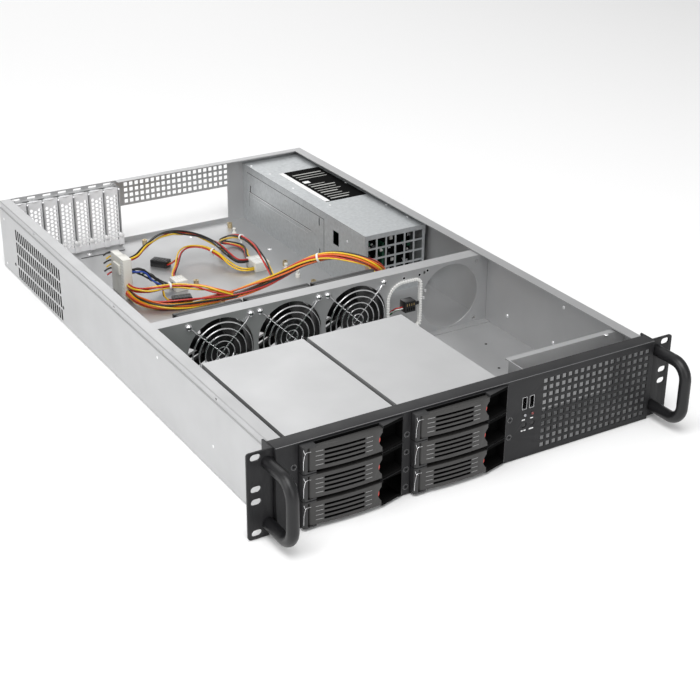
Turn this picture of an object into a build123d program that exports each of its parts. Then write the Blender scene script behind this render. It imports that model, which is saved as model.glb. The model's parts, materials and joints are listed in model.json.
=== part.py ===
from build123d import *
import math
import os

# Barebone rack server, two units high, with its top cover off, in millimetres.
# +X is to the right seen from the front, +Y runs from the front panel to the rear, +Z is up.
# The sizes below count Y from the front of the panel; write() moves the origin to mid depth.

# Chassis body
BODY_W = 430.0
BODY_D = 720.0
PANEL_H = 88.0
SHEET = 1.2
SIDE_H = 79.0
SEAT_STEP = 1.4
RAIL_W = 12.5
BEND_R = 0.69
COVER_SCREW_R = 1.6
COVER_SCREW_YS = (117.5, 358.0, 599.0)

# Front panel
PANEL_T = 1.5
PANEL_LIP = 16.0
PANEL_RETURN = 6.0
PANEL_LIP_T = 1.2
PANEL_EDGE_R = 0.8

# Rack ears and handles
EAR_W = 26.3
RACK_HOLE_IN = 8.74
RACK_HOLES_Z = (5.95, 37.7, 50.4, 82.15)
EAR_T = 2.0
EAR_Y = 4.0
EAR_LEG = 18.0
EAR_Z0 = 0.4
EAR_Z1 = 87.6
EAR_CORNER_R = 3.0
SLOT_L = 10.3
SLOT_W = 6.8
HANDLE_D = 11.9
HANDLE_OUT = 6.3
HANDLE_Y = -41.0
HANDLE_ZS = (13.0, 75.0)
HANDLE_BEND = 17.0
HANDLE_SCREW_R = 3.6
HANDLE_SCREW_T = 2.0

# Drive bays, two columns of three
BAY_XS = (-138.0, -20.7)
BAY_W = 109.0
BAY_Z0 = 2.2
BAY_Z1 = 85.8
TRAY_ROWS = (72.0, 44.0, 16.0)
TRAY_W = 108.0
TRAY_H = 27.0
TRAY_FACE_Y = -1.0
TRAY_BOX_END = 14.0
TRAY_END_Y = 178.0
CHEEK_L = 4.5
WEDGE_Y = -8.6
WEDGE_EDGE = 0.8
WEDGE_CHAMFER = 1.5
WEDGE_RIM = 1.6
FINGER_X0 = 27.4
FINGER_HALF_H = 10.4
FINGER_BACK_Y = 11.0
SLED_X = 52.6
SLED_T = 1.5
SLED_Z0 = -12.0
SLED_Z1 = 8.0
SLED_PLAY = 0.3
SLED_WINDOW = (70.0, 90.0)

# Tray levers and their red releases
LEVER_X0 = -48.0
LEVER_X1 = 26.6
LEVER_H = 23.4
LEVER_BACK = -3.0
LEVER_LEFT_Y = -7.0
LEVER_CROWN_X = -6.0
LEVER_CROWN_Y = -9.9
LEVER_RIGHT_Y = -8.8
PIVOT_X = -44.6
PIVOT_Y = -5.0
PIN_R = 1.2
PIN_PLAY = 0.05
LUG_X1 = -40.6
LUG_Y = -7.6
LUG_PLAY = 0.25
VENT_L = 41.0
VENT_X = -12.5
VENT_H = 2.2
VENT_PITCH = 4.6
VENTS = 4
NOTCH_X = 22.8
NOTCH_HALF = 5.6
RELEASE_X0 = 17.6
RELEASE_X1 = 25.4
RELEASE_HALF = 4.5
RELEASE_T = 2.4
RELEASE_Y = -7.0
RELEASE_STROKE = 1.5
RELEASE_PLAY = 0.2

# Drive cages and backplanes
CAGE_GAP = 0.6
CAGE_END_Y = 188.0
CAGE_TOP_Y = 18.5
CAGE_TOP_Z = 84.2
CAGE_FLANGE = 6.6
LEDGE_W = 6.0
LEDGE_T = 1.0
BOARD_T = 1.6
BACKPLANE_Y = 183.0

# Front controls
USB_XS = (55.0, 63.6)
USB_Z = 60.0
USB_W = 5.9
USB_H = 13.4
USB_WALL = 0.5
USB_TONGUE = 1.9
LED_XS = (56.0, 65.0)
LED_Z = 47.0
LED_R = 2.0
BUTTON_XS = (55.4, 65.2)
BUTTON_Z = 36.6
BUTTON_R = 2.8
BUTTON_PLAY = 0.3
BUTTON_FACE_Y = 0.4
BUTTON_END_Y = 12.5
BUTTON_TRAVEL = 1.5
SWITCH_Y = 14.5
CONTROL_Y = 17.0
CONTROL_X0 = 50.0
CONTROL_X1 = 70.5
CONTROL_Z0 = 27.0
CONTROL_Z1 = 72.0

# Front grille
GRILLE_X = 143.0
GRILLE_Z = 43.2
GRILLE_COLS = 18
GRILLE_ROWS = 10
GRILLE_PITCH_X = 7.5
GRILLE_PITCH_Z = 7.75
GRILLE_HOLE = 5.1

# Panel screws, in three columns beside the bays
SCREW_R = 1.5
SCREW_HEAD_R = 2.8
SCREW_L = 5.0
SCREW_COLUMNS = (
    (-197.2, (8.7, 27.2, 45.7, 64.2)),
    (-79.4, (8.7, 27.2, 45.7, 64.2)),
    (38.2, (27.6, 46.3)),
)

# Bracket behind the grille
BRACKET_Y = 43.0
BRACKET_X0 = 67.0
BRACKET_TOP = 84.0
BRACKET_FOOT = 12.0
BRACKET_LIP = 7.0
BRACKET_WINDOW = (120.0, 50.0)

# Fan wall
WALL_Y = 280.0
WALL_TOP = 85.0
WALL_FLANGE = 17.0
WALL_FOOT = 9.0
FAN_XS = (-128.5, -46.0, 36.5)
SPARE_FAN_X = 161.5
FAN_Z = 42.7
FAN_SIZE = 80.0
FAN_DEPTH = 25.0
FAN_BORE_R = 38.2
FAN_SPAN = 71.5
FAN_HOLE_R = 2.15
FAN_HUB_PLATE = 3.5
FAN_STRUT_W = 4.0
ROTOR_R = 36.6
HUB_R = 17.5
ROTOR_Y0 = 2.0
ROTOR_Y1 = 20.5
AXLE_R = 2.0
AXLE_PLAY = 0.05
BLADES = 7
BLADE_T = 1.6
BLADE_PITCH = 36.0
BLADE_CHORD = 24.0
BLADE_CAMBER_R = 26.0
GUARD_RINGS = (7.0, 13.6, 20.4, 27.4, 34.6)
GUARD_WIRE = 1.5
GUARD_SIDES = 16
FAN_SCREW_HEAD_R = 3.6
FAN_SCREW_R = 1.9
FAN_SCREW_L = 9.0
PASS_X0 = 78.0
PASS_X1 = 121.0
PASS_Z0 = 14.0
PASS_Z1 = 73.0
PASS_R_BIG = 20.0
PASS_R_SMALL = 7.0
TRIM_COVER = 1.0
TRIM_IN = 1.2
TRIM_SIDE = 1.0

# Power supply
PSU_X0 = 123.0
PSU_W = 86.0
PSU_H = 79.6
PSU_L = 317.0
PSU_SHEET = 0.8
PSU_FLAP_H = 12.6
PSU_SIDE_SLOTS = ((295.2, 48.5), (110.2, 63.5), (108.7, 22.5))
PSU_SIDE_SLOT = (2.4, 11.0)
PSU_SIDE_WINDOW = (69.2, 55.0)
PSU_SIDE_WINDOW_SIZE = (14.0, 18.0)
PSU_FLAP_YS = (24.0, 88.0)
PSU_GRID_COLS = 6
PSU_GRID_ROWS = 5
PSU_GRID_PITCH = 13.2
PSU_GRID_HOLE = 11.0
PSU_GRID_Z = 43.0
PSU_FAN = 60.0
PSU_FAN_SPAN = 50.0
PSU_FAN_BORE_R = 28.6
PSU_ROTOR_R = 27.4
PSU_HUB_R = 14.0
PSU_BLADE_CHORD = 16.0
PSU_FAN_X = 53.0
PSU_FAN_Z = 34.0
INLET_X = 12.2
INLET_Z = 52.0
INLET_W = 20.0
INLET_H = 27.0
CORD_EXIT_PLAY = 0.1

# Larger parts on the supply's board, placed from the board's near left corner
SINK_X = 30.0
SINK_T = 3.0
SINK_H = 52.0
SINK_ENDS = (10.0, 60.0)
COIL_PLACE = (42.0, 96.0)
COIL_SIZE = (30.0, 38.0, 34.0)
FILTER_PLACE = (2.0, 40.0)
FILTER_SIZE = (20.0, 50.0, 26.0)
SMALL_CAP_X = 57.0
SMALL_CAP_YS = (30.0, 54.0, 78.0)
SMALL_CAP_R = 9.0
SMALL_CAP_H = 30.0
LARGE_CAP_X = 14.0
LARGE_CAP_YS = (150.0, 180.0)
LARGE_CAP_R = 12.0
LARGE_CAP_H = 40.0

# Rear panel
IO_X0 = -58.5
IO_Z0 = 6.5
IO_W = 158.75
IO_H = 44.45
VENT_GRID_COLS = 20
VENT_GRID_ROWS = 4
VENT_GRID_PITCH = 7.6
VENT_GRID_HOLE = 5.0
VENT_GRID_X0 = -46.4
VENT_GRID_Z0 = 56.6
CARD_PITCH = 20.32
CARD_SLOTS = 7
CARDS_X1 = -61.5
CARD_RECESS = 11.0
CARD_OPEN_W = 13.4
CARD_OPEN_Z = (9.0, 74.0)
LEDGE_Z = 80.0
CARD_COVER_W = 18.6
CARD_COVER_T = 0.9
CARD_TAB_W = 12.0
CLAMP_T = 1.2
LIP_WINDOW = (11.0, 2.6)
REAR_FLANGE = 10.0

# Left side vent
SIDE_VENT_BACK = 201.0
SIDE_VENT_Z0 = 4.0
SIDE_VENT_COLS = 21
SIDE_VENT_ROWS = 4
SIDE_VENT_PITCH = (7.2, 16.6)
SIDE_VENT_SLOT = (4.3, 13.6)

# Board standoffs on the floor
STANDOFF_R = 3.2
STANDOFF_H = 6.4
STANDOFF_BORE_R = 1.35
STANDOFF_XS = (-191.2, -33.72, 90.74)
STANDOFF_BACKS = (251.33, 178.94, 24.0)

# Plugs, each as its X, Y and Z limits, with Y from the rear edge, or from the fan wall for the fan's plug
PLUG_MAIN = ((-127.5, -116.5), (-178.5, -138.5), (1.2, 52.0))
PLUG_SQUARE = ((47.5, 67.5), (-181.5, -154.5), (1.2, 13.2))
PLUG_EIGHT = ((-65.0, -49.0), (-189.0, -169.0), (1.2, 15.0))
PLUG_FAN = ((98.0, 112.0), (-5.5, 6.5), (37.0, 50.0))
PLUG_FAN_ARM = 4.0

# Looms and leads, each as its diameter and the points of its route, with Y from the same places
LOOM_MAIN_D = 9.0
LOOM_MAIN = (
    (133, -311, 36), (133, -333, 36), (128, -354, 47), (114.5, -359, 61), (95.5, -346, 70),
    (73.5, -322.5, 70), (53.5, -300, 58), (36, -279, 39), (16, -260, 21), (-11, -246, 9),
    (-43, -239, 6.3), (-72, -237, 6.3), (-95, -231, 6.5), (-111, -220.5, 7.5), (-120.5, -205.5, 9),
    (-122.5, -191.5, 9), (-122.5, -178.5, 9),
)
LOOM_ARC_D = 5.5
LOOM_ARC = (
    (-116.5, -162, 45), (-105, -162, 45), (-88, -152, 52), (-65.5, -135, 55), (-41, -118, 50),
    (-15.5, -106, 42), (6, -107.5, 34), (21.5, -120.5, 26), (28, -139.5, 18.5), (32, -153.5, 12.5),
    (38.5, -160, 10), (47.5, -160, 10),
)
LOOM_RIGHT_D = 5.5
LOOM_RIGHT = (
    (26, -269.5, 30), (30.5, -255, 30.5), (34.5, -237, 34), (38, -216, 39), (40.5, -192.5, 43),
    (41, -168.5, 43.5), (40.5, -145.5, 40), (40, -126, 32), (39, -108.5, 23), (41.5, -93, 14),
    (50, -83.5, 8), (62, -86, 5), (69, -100, 4.5), (67.5, -117, 4.8), (59.5, -133, 5.5),
    (57.5, -144, 5.5), (57.5, -154.5, 5.5),
)
LOOM_LOOP_D = 5.0
LOOM_LOOP = (
    (47.5, -176, 5), (37, -176, 5), (29, -169, 6), (24.5, -154, 8.5), (22, -131, 12.5),
    (14.5, -108, 17), (-3.5, -98, 19), (-20.5, -106.5, 18), (-32, -124, 15), (-42.5, -139.5, 12),
    (-51.5, -151, 9.5), (-54.5, -159.5, 9), (-54.5, -169, 9),
)
LOOM_FRONT_D = 6.0
LOOM_FRONT = (
    (-122, -178.5, 19), (-122, -191, 19), (-116.5, -201, 19.5), (-105.5, -207.5, 21), (-90.5, -210, 22),
    (-75, -213, 22), (-59.5, -222, 21), (-45, -233, 20), (-32, -243.5, 16), (-17.5, -246.5, 10.5),
)
LOOM_BLACK_D = 7.0
LOOM_BLACK = (
    (-116.5, -170.5, 33), (-108.5, -170.5, 33), (-100.5, -171, 30), (-92, -173.5, 23.5),
    (-84.5, -176.5, 16), (-78, -179, 10.5), (-72, -180, 8), (-65, -180, 8),
)
FAN_LEAD_D = 3.5
FAN_LEAD = (
    (76.5, 18, 26), (82.5, 18, 26), (88, 14, 30), (90, 6.5, 37.5), (92.5, 1, 41), (98, 1, 41),
)
TIE_W = 2.4
TIE_T = 1.0
TIE_PLAY = 0.15
TIE_HEAD = 4.0
TIES = (
    (LOOM_MAIN, 5, LOOM_MAIN_D),
    (LOOM_RIGHT, 5, LOOM_RIGHT_D),
    (LOOM_LOOP, 4, LOOM_LOOP_D),
    (LOOM_FRONT, 4, LOOM_FRONT_D),
)

BASE_TOP = PANEL_H - PANEL_LIP_T
HALF_W = BODY_W / 2
INNER_HALF = HALF_W - SHEET
EAR_REACH = HALF_W + EAR_W
RACK_HOLE_X = EAR_REACH - RACK_HOLE_IN
HANDLE_X = HALF_W + HANDLE_OUT
SEAT_HALF = HALF_W - SEAT_STEP
WALL_PLAY = 0.15
SEAT_INNER = SEAT_HALF - SHEET - WALL_PLAY
SEAT_BEND_Z = SIDE_H - SHEET - WALL_PLAY
RAIL_EDGE = SEAT_HALF - SHEET / 2 - RAIL_W
REAR_Y = BODY_D - SHEET
FAN_Y = WALL_Y + SHEET
PSU_Y = REAR_Y - PSU_L
PSU_FAN_Y = REAR_Y - PSU_SHEET - FAN_DEPTH
CARDS_X0 = CARDS_X1 - CARD_PITCH * CARD_SLOTS
CAGE_HALF = BAY_W / 2 + CAGE_GAP / 2
STANDOFF_YS = [BODY_D - back for back in STANDOFF_BACKS]


def block(x0, x1, y0, y1, z0, z1):
    """A box between two corners."""
    middle = ((x0 + x1) / 2, (y0 + y1) / 2, (z0 + z1) / 2)
    return Pos(*middle) * Box(x1 - x0, y1 - y0, z1 - z0)


def rect(x0, x1, z0, z1):
    """A flat rectangle between two corners."""
    return Pos((x0 + x1) / 2, (z0 + z1) / 2) * Rectangle(x1 - x0, z1 - z0)


def copies(sketch, places):
    """The sketch at every place, as one sketch."""
    return Sketch() + [place * sketch for place in places]


def along_y(sketch, y0, y1):
    """A sketch in X and Z, drawn out from y0 to y1."""
    plane = Plane((0, y1, 0), x_dir=(1, 0, 0), z_dir=(0, -1, 0))
    return extrude(plane * sketch, amount=y1 - y0)


def along_x(sketch, x0, x1):
    """A sketch in Y and Z, drawn out from x0 to x1."""
    plane = Plane((x0, 0, 0), x_dir=(0, 1, 0), z_dir=(1, 0, 0))
    return extrude(plane * sketch, amount=x1 - x0)


def along_z(sketch, z0, z1):
    """A sketch in X and Y, drawn out from z0 to z1."""
    return extrude(Pos(0, 0, z0) * sketch, amount=z1 - z0)


def rod_y(x, z, radius, y0, y1):
    """A round bar along Y."""
    return along_y(Pos(x, z) * Circle(radius), y0, y1)


def write(name, part):
    """Writes one node, with the origin moved to mid depth."""
    export_step(Pos(0, -BODY_D / 2, 0) * part, os.path.join("parts", name + ".step"))


# Chassis sheet metal

def base_tray():
    """Floor, sides with the stepped seat of the cover, and the top rails."""
    half = SHEET / 2
    right = [
        (HALF_W - half, half),
        (HALF_W - half, SIDE_H - half),
        (SEAT_HALF - half, SIDE_H - half),
        (SEAT_HALF - half, BASE_TOP - half),
        (RAIL_EDGE, BASE_TOP - half),
    ]
    left = [(-x, z) for x, z in reversed(right)]
    section = trace(FilletPolyline(*left, *right, radius=BEND_R), line_width=SHEET)
    tray = along_y(section, PANEL_RETURN, BODY_D)
    tray -= along_x(side_vent(), -HALF_W - 1, -INNER_HALF + 1)
    screw_z = (SIDE_H + BASE_TOP) / 2
    holes = copies(Circle(COVER_SCREW_R), [Pos(y, screw_z) for y in COVER_SCREW_YS])
    return tray - along_x(holes, -HALF_W, HALF_W)


def side_vent():
    """Upright slots at the rear of the left side."""
    columns, rows = SIDE_VENT_COLS, SIDE_VENT_ROWS
    pitch_y, pitch_z = SIDE_VENT_PITCH
    mid_y = BODY_D - SIDE_VENT_BACK + (columns - 1) * pitch_y / 2
    mid_z = SIDE_VENT_Z0 + (SIDE_VENT_SLOT[1] + (rows - 1) * pitch_z) / 2
    grid = GridLocations(pitch_y, pitch_z, columns, rows)
    return Pos(mid_y, mid_z) * copies(Rectangle(*SIDE_VENT_SLOT), grid)


def wall_outline(z0, z1):
    """The outline of a wall that fits between the sides and below the rails."""
    lower = rect(-INNER_HALF + WALL_PLAY, INNER_HALF - WALL_PLAY, z0, min(z1, SEAT_BEND_Z))
    if z1 <= SEAT_BEND_Z:
        return lower
    return lower + rect(-SEAT_INNER, SEAT_INNER, SEAT_BEND_Z, z1)


def rear_panel():
    """Rear wall with the card recess, the port aperture, the vent and the supply opening."""
    wall = along_y(wall_outline(SHEET, BASE_TOP - SHEET - WALL_PLAY), REAR_Y, BODY_D)
    flange = RAIL_EDGE - WALL_PLAY
    wall += block(-flange, flange, REAR_Y, BODY_D, BASE_TOP - 2 * SHEET, BASE_TOP)
    wall += block(-flange, flange, BODY_D - REAR_FLANGE, BODY_D, BASE_TOP - SHEET, BASE_TOP)
    x0 = CARDS_X0 - 1.5
    x1 = CARDS_X1 + 1.5
    wall -= block(x0, x1, BODY_D - REAR_FLANGE - 1, BODY_D + 1, SHEET, BASE_TOP + 1)
    wall += card_recess(x0, x1)
    wall -= along_y(rect(IO_X0, IO_X0 + IO_W, IO_Z0, IO_Z0 + IO_H), REAR_Y - 1, BODY_D + 1)
    wall -= along_y(rear_vent(), REAR_Y - 1, BODY_D + 1)
    margin = 3.0
    supply = rect(PSU_X0 + margin, PSU_X0 + PSU_W - margin, SHEET + margin, SHEET + PSU_H - margin)
    wall -= along_y(supply, REAR_Y - 1, BODY_D + 1)
    return wall


def rear_vent():
    """Rows of square holes above the port aperture."""
    columns, rows = VENT_GRID_COLS, VENT_GRID_ROWS
    mid_x = VENT_GRID_X0 + (columns - 1) * VENT_GRID_PITCH / 2
    mid_z = VENT_GRID_Z0 + (rows - 1) * VENT_GRID_PITCH / 2
    grid = GridLocations(VENT_GRID_PITCH, VENT_GRID_PITCH, columns, rows)
    return Pos(mid_x, mid_z) * copies(Rectangle(VENT_GRID_HOLE, VENT_GRID_HOLE), grid)


def card_recess(x0, x1):
    """The wall behind the card covers, set in, with its ledge and the outer lip."""
    y0 = BODY_D - CARD_RECESS - SHEET
    y1 = BODY_D - CARD_RECESS
    plate = along_y(rect(x0, x1, SHEET, LEDGE_Z), y0, y1)
    z0, z1 = CARD_OPEN_Z
    openings = copies(rect(-CARD_OPEN_W / 2, CARD_OPEN_W / 2, z0, z1), [Pos(x, 0) for x in card_xs()])
    plate -= along_y(openings, y0 - 1, y1 + 1)
    plate += block(x0, x1, y0, BODY_D, LEDGE_Z, LEDGE_Z + SHEET)
    plate += block(x0, x0 + SHEET, y0, BODY_D, SHEET, LEDGE_Z)
    plate += block(x1 - SHEET, x1, y0, BODY_D, SHEET, LEDGE_Z)
    lip = rect(x0, x1, LEDGE_Z, BASE_TOP - SHEET - WALL_PLAY)
    lip += rect(WALL_PLAY - RAIL_EDGE, x1, LEDGE_Z, BASE_TOP)
    lip = along_y(lip, REAR_Y, BODY_D)
    window_z = (LEDGE_Z + SHEET + BASE_TOP) / 2
    windows = copies(SlotOverall(*LIP_WINDOW), [Pos(x, window_z) for x in card_xs()])
    return plate + (lip - along_y(windows, REAR_Y - 1, BODY_D + 1))


def card_xs():
    """The middles of the card slots."""
    return [CARDS_X0 + CARD_PITCH * (index + 0.5) for index in range(CARD_SLOTS)]


def slot_covers():
    """One blank cover per card slot, with its bent tab on the ledge."""
    y1 = BODY_D - CARD_RECESS - SHEET
    y0 = y1 - CARD_COVER_T
    top = LEDGE_Z + SHEET
    covers = []
    for x in card_xs():
        cover = block(x - CARD_COVER_W / 2, x + CARD_COVER_W / 2, y0, y1, 4.0, top)
        cover += block(x - CARD_COVER_W / 2, x + CARD_COVER_W / 2, y0, y1 + 2, top, top + CARD_COVER_T)
        cover += block(x - CARD_TAB_W / 2, x + CARD_TAB_W / 2, y1 + 2, REAR_Y, top, top + CARD_COVER_T)
        cover -= along_y(cover_slots(x), y0 - 1, y1 + 1)
        covers.append(cover)
    return Compound(covers)


def cover_slots(x):
    """Two tall vents that stand in for the fine punching of a cover."""
    z0, z1 = CARD_OPEN_Z
    return copies(rect(-1.6, 1.6, z0 + 3, z1 - 3), [Pos(x - 3.2, 0), Pos(x + 3.2, 0)])


def slot_clamp():
    """The bar that holds the covers' tabs down, with its two screws."""
    z0 = LEDGE_Z + SHEET + CARD_COVER_T
    y1 = REAR_Y
    bar = block(CARDS_X0, CARDS_X1, y1 - 6.5, y1, z0, z0 + CLAMP_T)
    for x in (CARDS_X0 + 5, CARDS_X1 - 5):
        bar += Pos(x, y1 - 3.2, z0 + CLAMP_T + 0.7) * Cylinder(2.6, 1.4)
    return bar


def front_panel():
    """The black front with its folded edges, bays, control holes and grille."""
    panel = block(-HALF_W, HALF_W, 0, PANEL_T, 0, PANEL_H)
    panel = fillet(panel.edges().group_by(Axis.Y)[0], PANEL_EDGE_R)
    panel += block(-HALF_W, HALF_W, PANEL_T, PANEL_LIP, BASE_TOP, PANEL_H)
    panel += block(-HALF_W, HALF_W, PANEL_T, PANEL_RETURN, 0, SHEET)
    for side in (-1, 1):
        x = side * (HALF_W - SHEET / 2)
        panel += block(x - SHEET / 2, x + SHEET / 2, PANEL_T, PANEL_RETURN, 0, BASE_TOP)
    panel -= along_y(panel_openings(), -1, PANEL_T + 1)
    for x, z in screw_places():
        panel -= screw_head(x, z)
    return panel


def panel_openings():
    """Bays, control holes and the grille, cut straight through."""
    bays = copies(rect(-BAY_W / 2, BAY_W / 2, BAY_Z0, BAY_Z1), [Pos(x, 0) for x in BAY_XS])
    ports = copies(Rectangle(USB_W, USB_H), [Pos(x, USB_Z) for x in USB_XS])
    lights = copies(Circle(LED_R), [Pos(x, LED_Z) for x in LED_XS])
    buttons = copies(Circle(BUTTON_R + BUTTON_PLAY), [Pos(x, BUTTON_Z) for x in BUTTON_XS])
    grid = GridLocations(GRILLE_PITCH_X, GRILLE_PITCH_Z, GRILLE_COLS, GRILLE_ROWS)
    grille = Pos(GRILLE_X, GRILLE_Z) * copies(Rectangle(GRILLE_HOLE, GRILLE_HOLE), grid)
    return bays + ports + lights + buttons + grille


def screw_places():
    """The middles of the countersunk panel screws."""
    return [(x, z) for x, heights in SCREW_COLUMNS for z in heights]


def screw_head(x, z):
    """The cone of one countersunk head, its flat side on the panel's face."""
    cone = Cone(SCREW_R, SCREW_HEAD_R, PANEL_T)
    return Pos(x, PANEL_T / 2, z) * Rot(90, 0, 0) * cone


def panel_screws():
    """Countersunk screws that hold the drive cages."""
    screws = []
    for x, z in screw_places():
        screws.append(screw_head(x, z) + rod_y(x, z, SCREW_R, PANEL_T, SCREW_L))
    return Compound(screws)


def ear(side):
    """One rack ear with its slots and the leg along the body."""
    inner = HALF_W
    plate = rect(inner, EAR_REACH, EAR_Z0, EAR_Z1)
    outer = plate.vertices().group_by(Axis.X)[-1]
    plate = fillet(outer, EAR_CORNER_R)
    plate -= copies(SlotOverall(SLOT_L, SLOT_W), [Pos(RACK_HOLE_X, z) for z in RACK_HOLES_Z])
    part = along_y(plate, EAR_Y, EAR_Y + EAR_T)
    leg_end = EAR_Y + EAR_LEG
    leg = block(inner, inner + EAR_T, EAR_Y + EAR_T, leg_end, EAR_Z0, EAR_Z1)
    part += leg
    for z in HANDLE_ZS:
        screw = rod_y(HANDLE_X, z, HANDLE_SCREW_R, EAR_Y + EAR_T, EAR_Y + EAR_T + HANDLE_SCREW_T)
        part += screw
    return part if side > 0 else mirror(part, about=Plane.YZ)


def handle(side):
    """One bail handle, a round bar bent twice, standing on the ear."""
    low, high = HANDLE_ZS
    path = FilletPolyline(
        (HANDLE_X, EAR_Y, low),
        (HANDLE_X, HANDLE_Y, low),
        (HANDLE_X, HANDLE_Y, high),
        (HANDLE_X, EAR_Y, high),
        radius=HANDLE_BEND,
    )
    start = Plane((HANDLE_X, EAR_Y, low), x_dir=(1, 0, 0), z_dir=(0, -1, 0))
    bar = sweep(start * Circle(HANDLE_D / 2), path=path)
    return bar if side > 0 else mirror(bar, about=Plane.YZ)


def front_bracket():
    """Upright stiffener behind the grille, with its foot, top lip and front leg."""
    x0 = BRACKET_X0
    x1 = INNER_HALF - WALL_PLAY
    top = BRACKET_TOP
    y0 = BRACKET_Y
    y1 = BRACKET_Y + SHEET
    lower = rect(x0, x1, SHEET, SEAT_BEND_Z)
    plate = lower + rect(x0, SEAT_INNER, SEAT_BEND_Z, top)
    wide, high = BRACKET_WINDOW
    plate -= Pos((x0 + x1) / 2, GRILLE_Z) * RectangleRounded(wide, high, 6)
    part = along_y(plate, y0, y1)
    part += block(x0, x1, y1, y0 + BRACKET_FOOT, SHEET, 2 * SHEET)
    part += block(x0, SEAT_INNER, y1, y0 + BRACKET_LIP, top - SHEET, top)
    part += block(x0, x0 + SHEET, CONTROL_Y + BOARD_T, y0, CONTROL_Z0, top)
    return part


# Drive bays

def cage(x):
    """One drive cage, open at the bottom, with ledges for its three trays."""
    half = CAGE_HALF
    part = block(x - half, x + half, CAGE_TOP_Y, CAGE_END_Y, CAGE_TOP_Z - SHEET, CAGE_TOP_Z)
    for side in (-1, 1):
        inner = side * half
        outer = side * (half + SHEET)
        part += between_x(x + inner, x + outer, PANEL_T, CAGE_END_Y, SHEET, CAGE_TOP_Z)
        for z in TRAY_ROWS:
            z1 = z + SLED_Z0 - SLED_PLAY
            ledge_y = TRAY_BOX_END + 2
            part += between_x(x + inner, x + inner - side * LEDGE_W, ledge_y, BACKPLANE_Y, z1 - LEDGE_T, z1)
    flange = CAGE_HALF + SHEET + (CAGE_FLANGE if x == BAY_XS[0] else 0)
    flange_z = (SHEET, CAGE_TOP_Z - 8)
    if x == BAY_XS[0]:
        part += block(x - flange, x - half, PANEL_T, PANEL_T + SHEET, *flange_z)
        part += block(x + half, x + half + SHEET + 4.6, PANEL_T, PANEL_T + SHEET, *flange_z)
    else:
        part += block(x + half, x + half + SHEET + CAGE_FLANGE, PANEL_T, PANEL_T + SHEET, *flange_z)
    for screw_x, screw_z in screw_places():
        part -= rod_y(screw_x, screw_z, SCREW_R, PANEL_T - 1, PANEL_T + SHEET + 1)
    return part


def between_x(xa, xb, y0, y1, z0, z1):
    """A box whose two X limits may come in either order."""
    return block(min(xa, xb), max(xa, xb), y0, y1, z0, z1)


def backplanes():
    """The board at the end of each cage, with one drive socket per tray."""
    boards = []
    for x in BAY_XS:
        half = CAGE_HALF
        board = block(x - half, x + half, BACKPLANE_Y, BACKPLANE_Y + BOARD_T, 4, CAGE_TOP_Z - SHEET)
        for z in TRAY_ROWS:
            board += block(x - 22, x + 22, BACKPLANE_Y - 3.5, BACKPLANE_Y, z - 8, z - 2)
        boards.append(board)
    return Compound(boards)


def tray(x, z):
    """One empty drive tray, its face frame and its sled."""
    half_w = TRAY_W / 2
    half_h = TRAY_H / 2
    face = block(-half_w, half_w, TRAY_FACE_Y, TRAY_BOX_END, -half_h, half_h)
    face += along_z(left_cheek(), -half_h, half_h)
    face += along_z(right_wedge(), -half_h, half_h)
    finger = rect(FINGER_X0, half_w - WEDGE_RIM, -FINGER_HALF_H, FINGER_HALF_H)
    face -= along_y(finger, WEDGE_Y - 1, FINGER_BACK_Y)
    face += pivot_lugs(half_h)
    face -= block(-44, 20, 2.5, TRAY_BOX_END + 1, -half_h + 2.5, half_h - 2.5)
    return Pos(x, 0, z) * (face + sled())


def left_cheek():
    """The sloping left end of a tray's face, in plan."""
    x0 = -TRAY_W / 2
    return Polygon(
        (x0, TRAY_FACE_Y),
        (x0, LUG_Y + 1.5),
        (x0 + 1.5, LUG_Y),
        (x0 + CHEEK_L, LUG_Y),
        (x0 + CHEEK_L, TRAY_FACE_Y),
        align=None,
    )


def right_wedge():
    """The right end of a tray's face, in plan, falling from the lever's tip to the panel."""
    x1 = TRAY_W / 2
    return Polygon(
        (FINGER_X0, TRAY_FACE_Y),
        (FINGER_X0, WEDGE_Y),
        (x1 - WEDGE_CHAMFER, TRAY_FACE_Y - WEDGE_EDGE),
        (x1, TRAY_FACE_Y),
        align=None,
    )


def pivot_lugs(half_h):
    """Two ears that hold the lever's pin, and the pin."""
    lugs = Part()
    z0 = LEVER_H / 2 + LUG_PLAY
    for side in (-1, 1):
        lug = block(-TRAY_W / 2 + CHEEK_L, LUG_X1, LUG_Y, TRAY_FACE_Y, z0, half_h)
        lugs += lug if side > 0 else mirror(lug, about=Plane.XY)
    return lugs + Pos(PIVOT_X, PIVOT_Y, 0) * Cylinder(PIN_R, 2 * z0 + 1)


def sled():
    """Two side rails and a floor that carry a drive."""
    inner = SLED_X - SLED_T
    y0 = TRAY_BOX_END
    y1 = TRAY_END_Y
    part = block(-SLED_X, SLED_X, y0, y1, SLED_Z0, SLED_Z0 + SLED_T)
    part -= Pos(0, (y0 + y1) / 2, SLED_Z0) * Box(*SLED_WINDOW, 4 * SLED_T)
    part += block(-SLED_X, -inner, y0, y1, SLED_Z0, SLED_Z1)
    part += block(inner, SLED_X, y0, y1, SLED_Z0, SLED_Z1)
    return part


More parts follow.
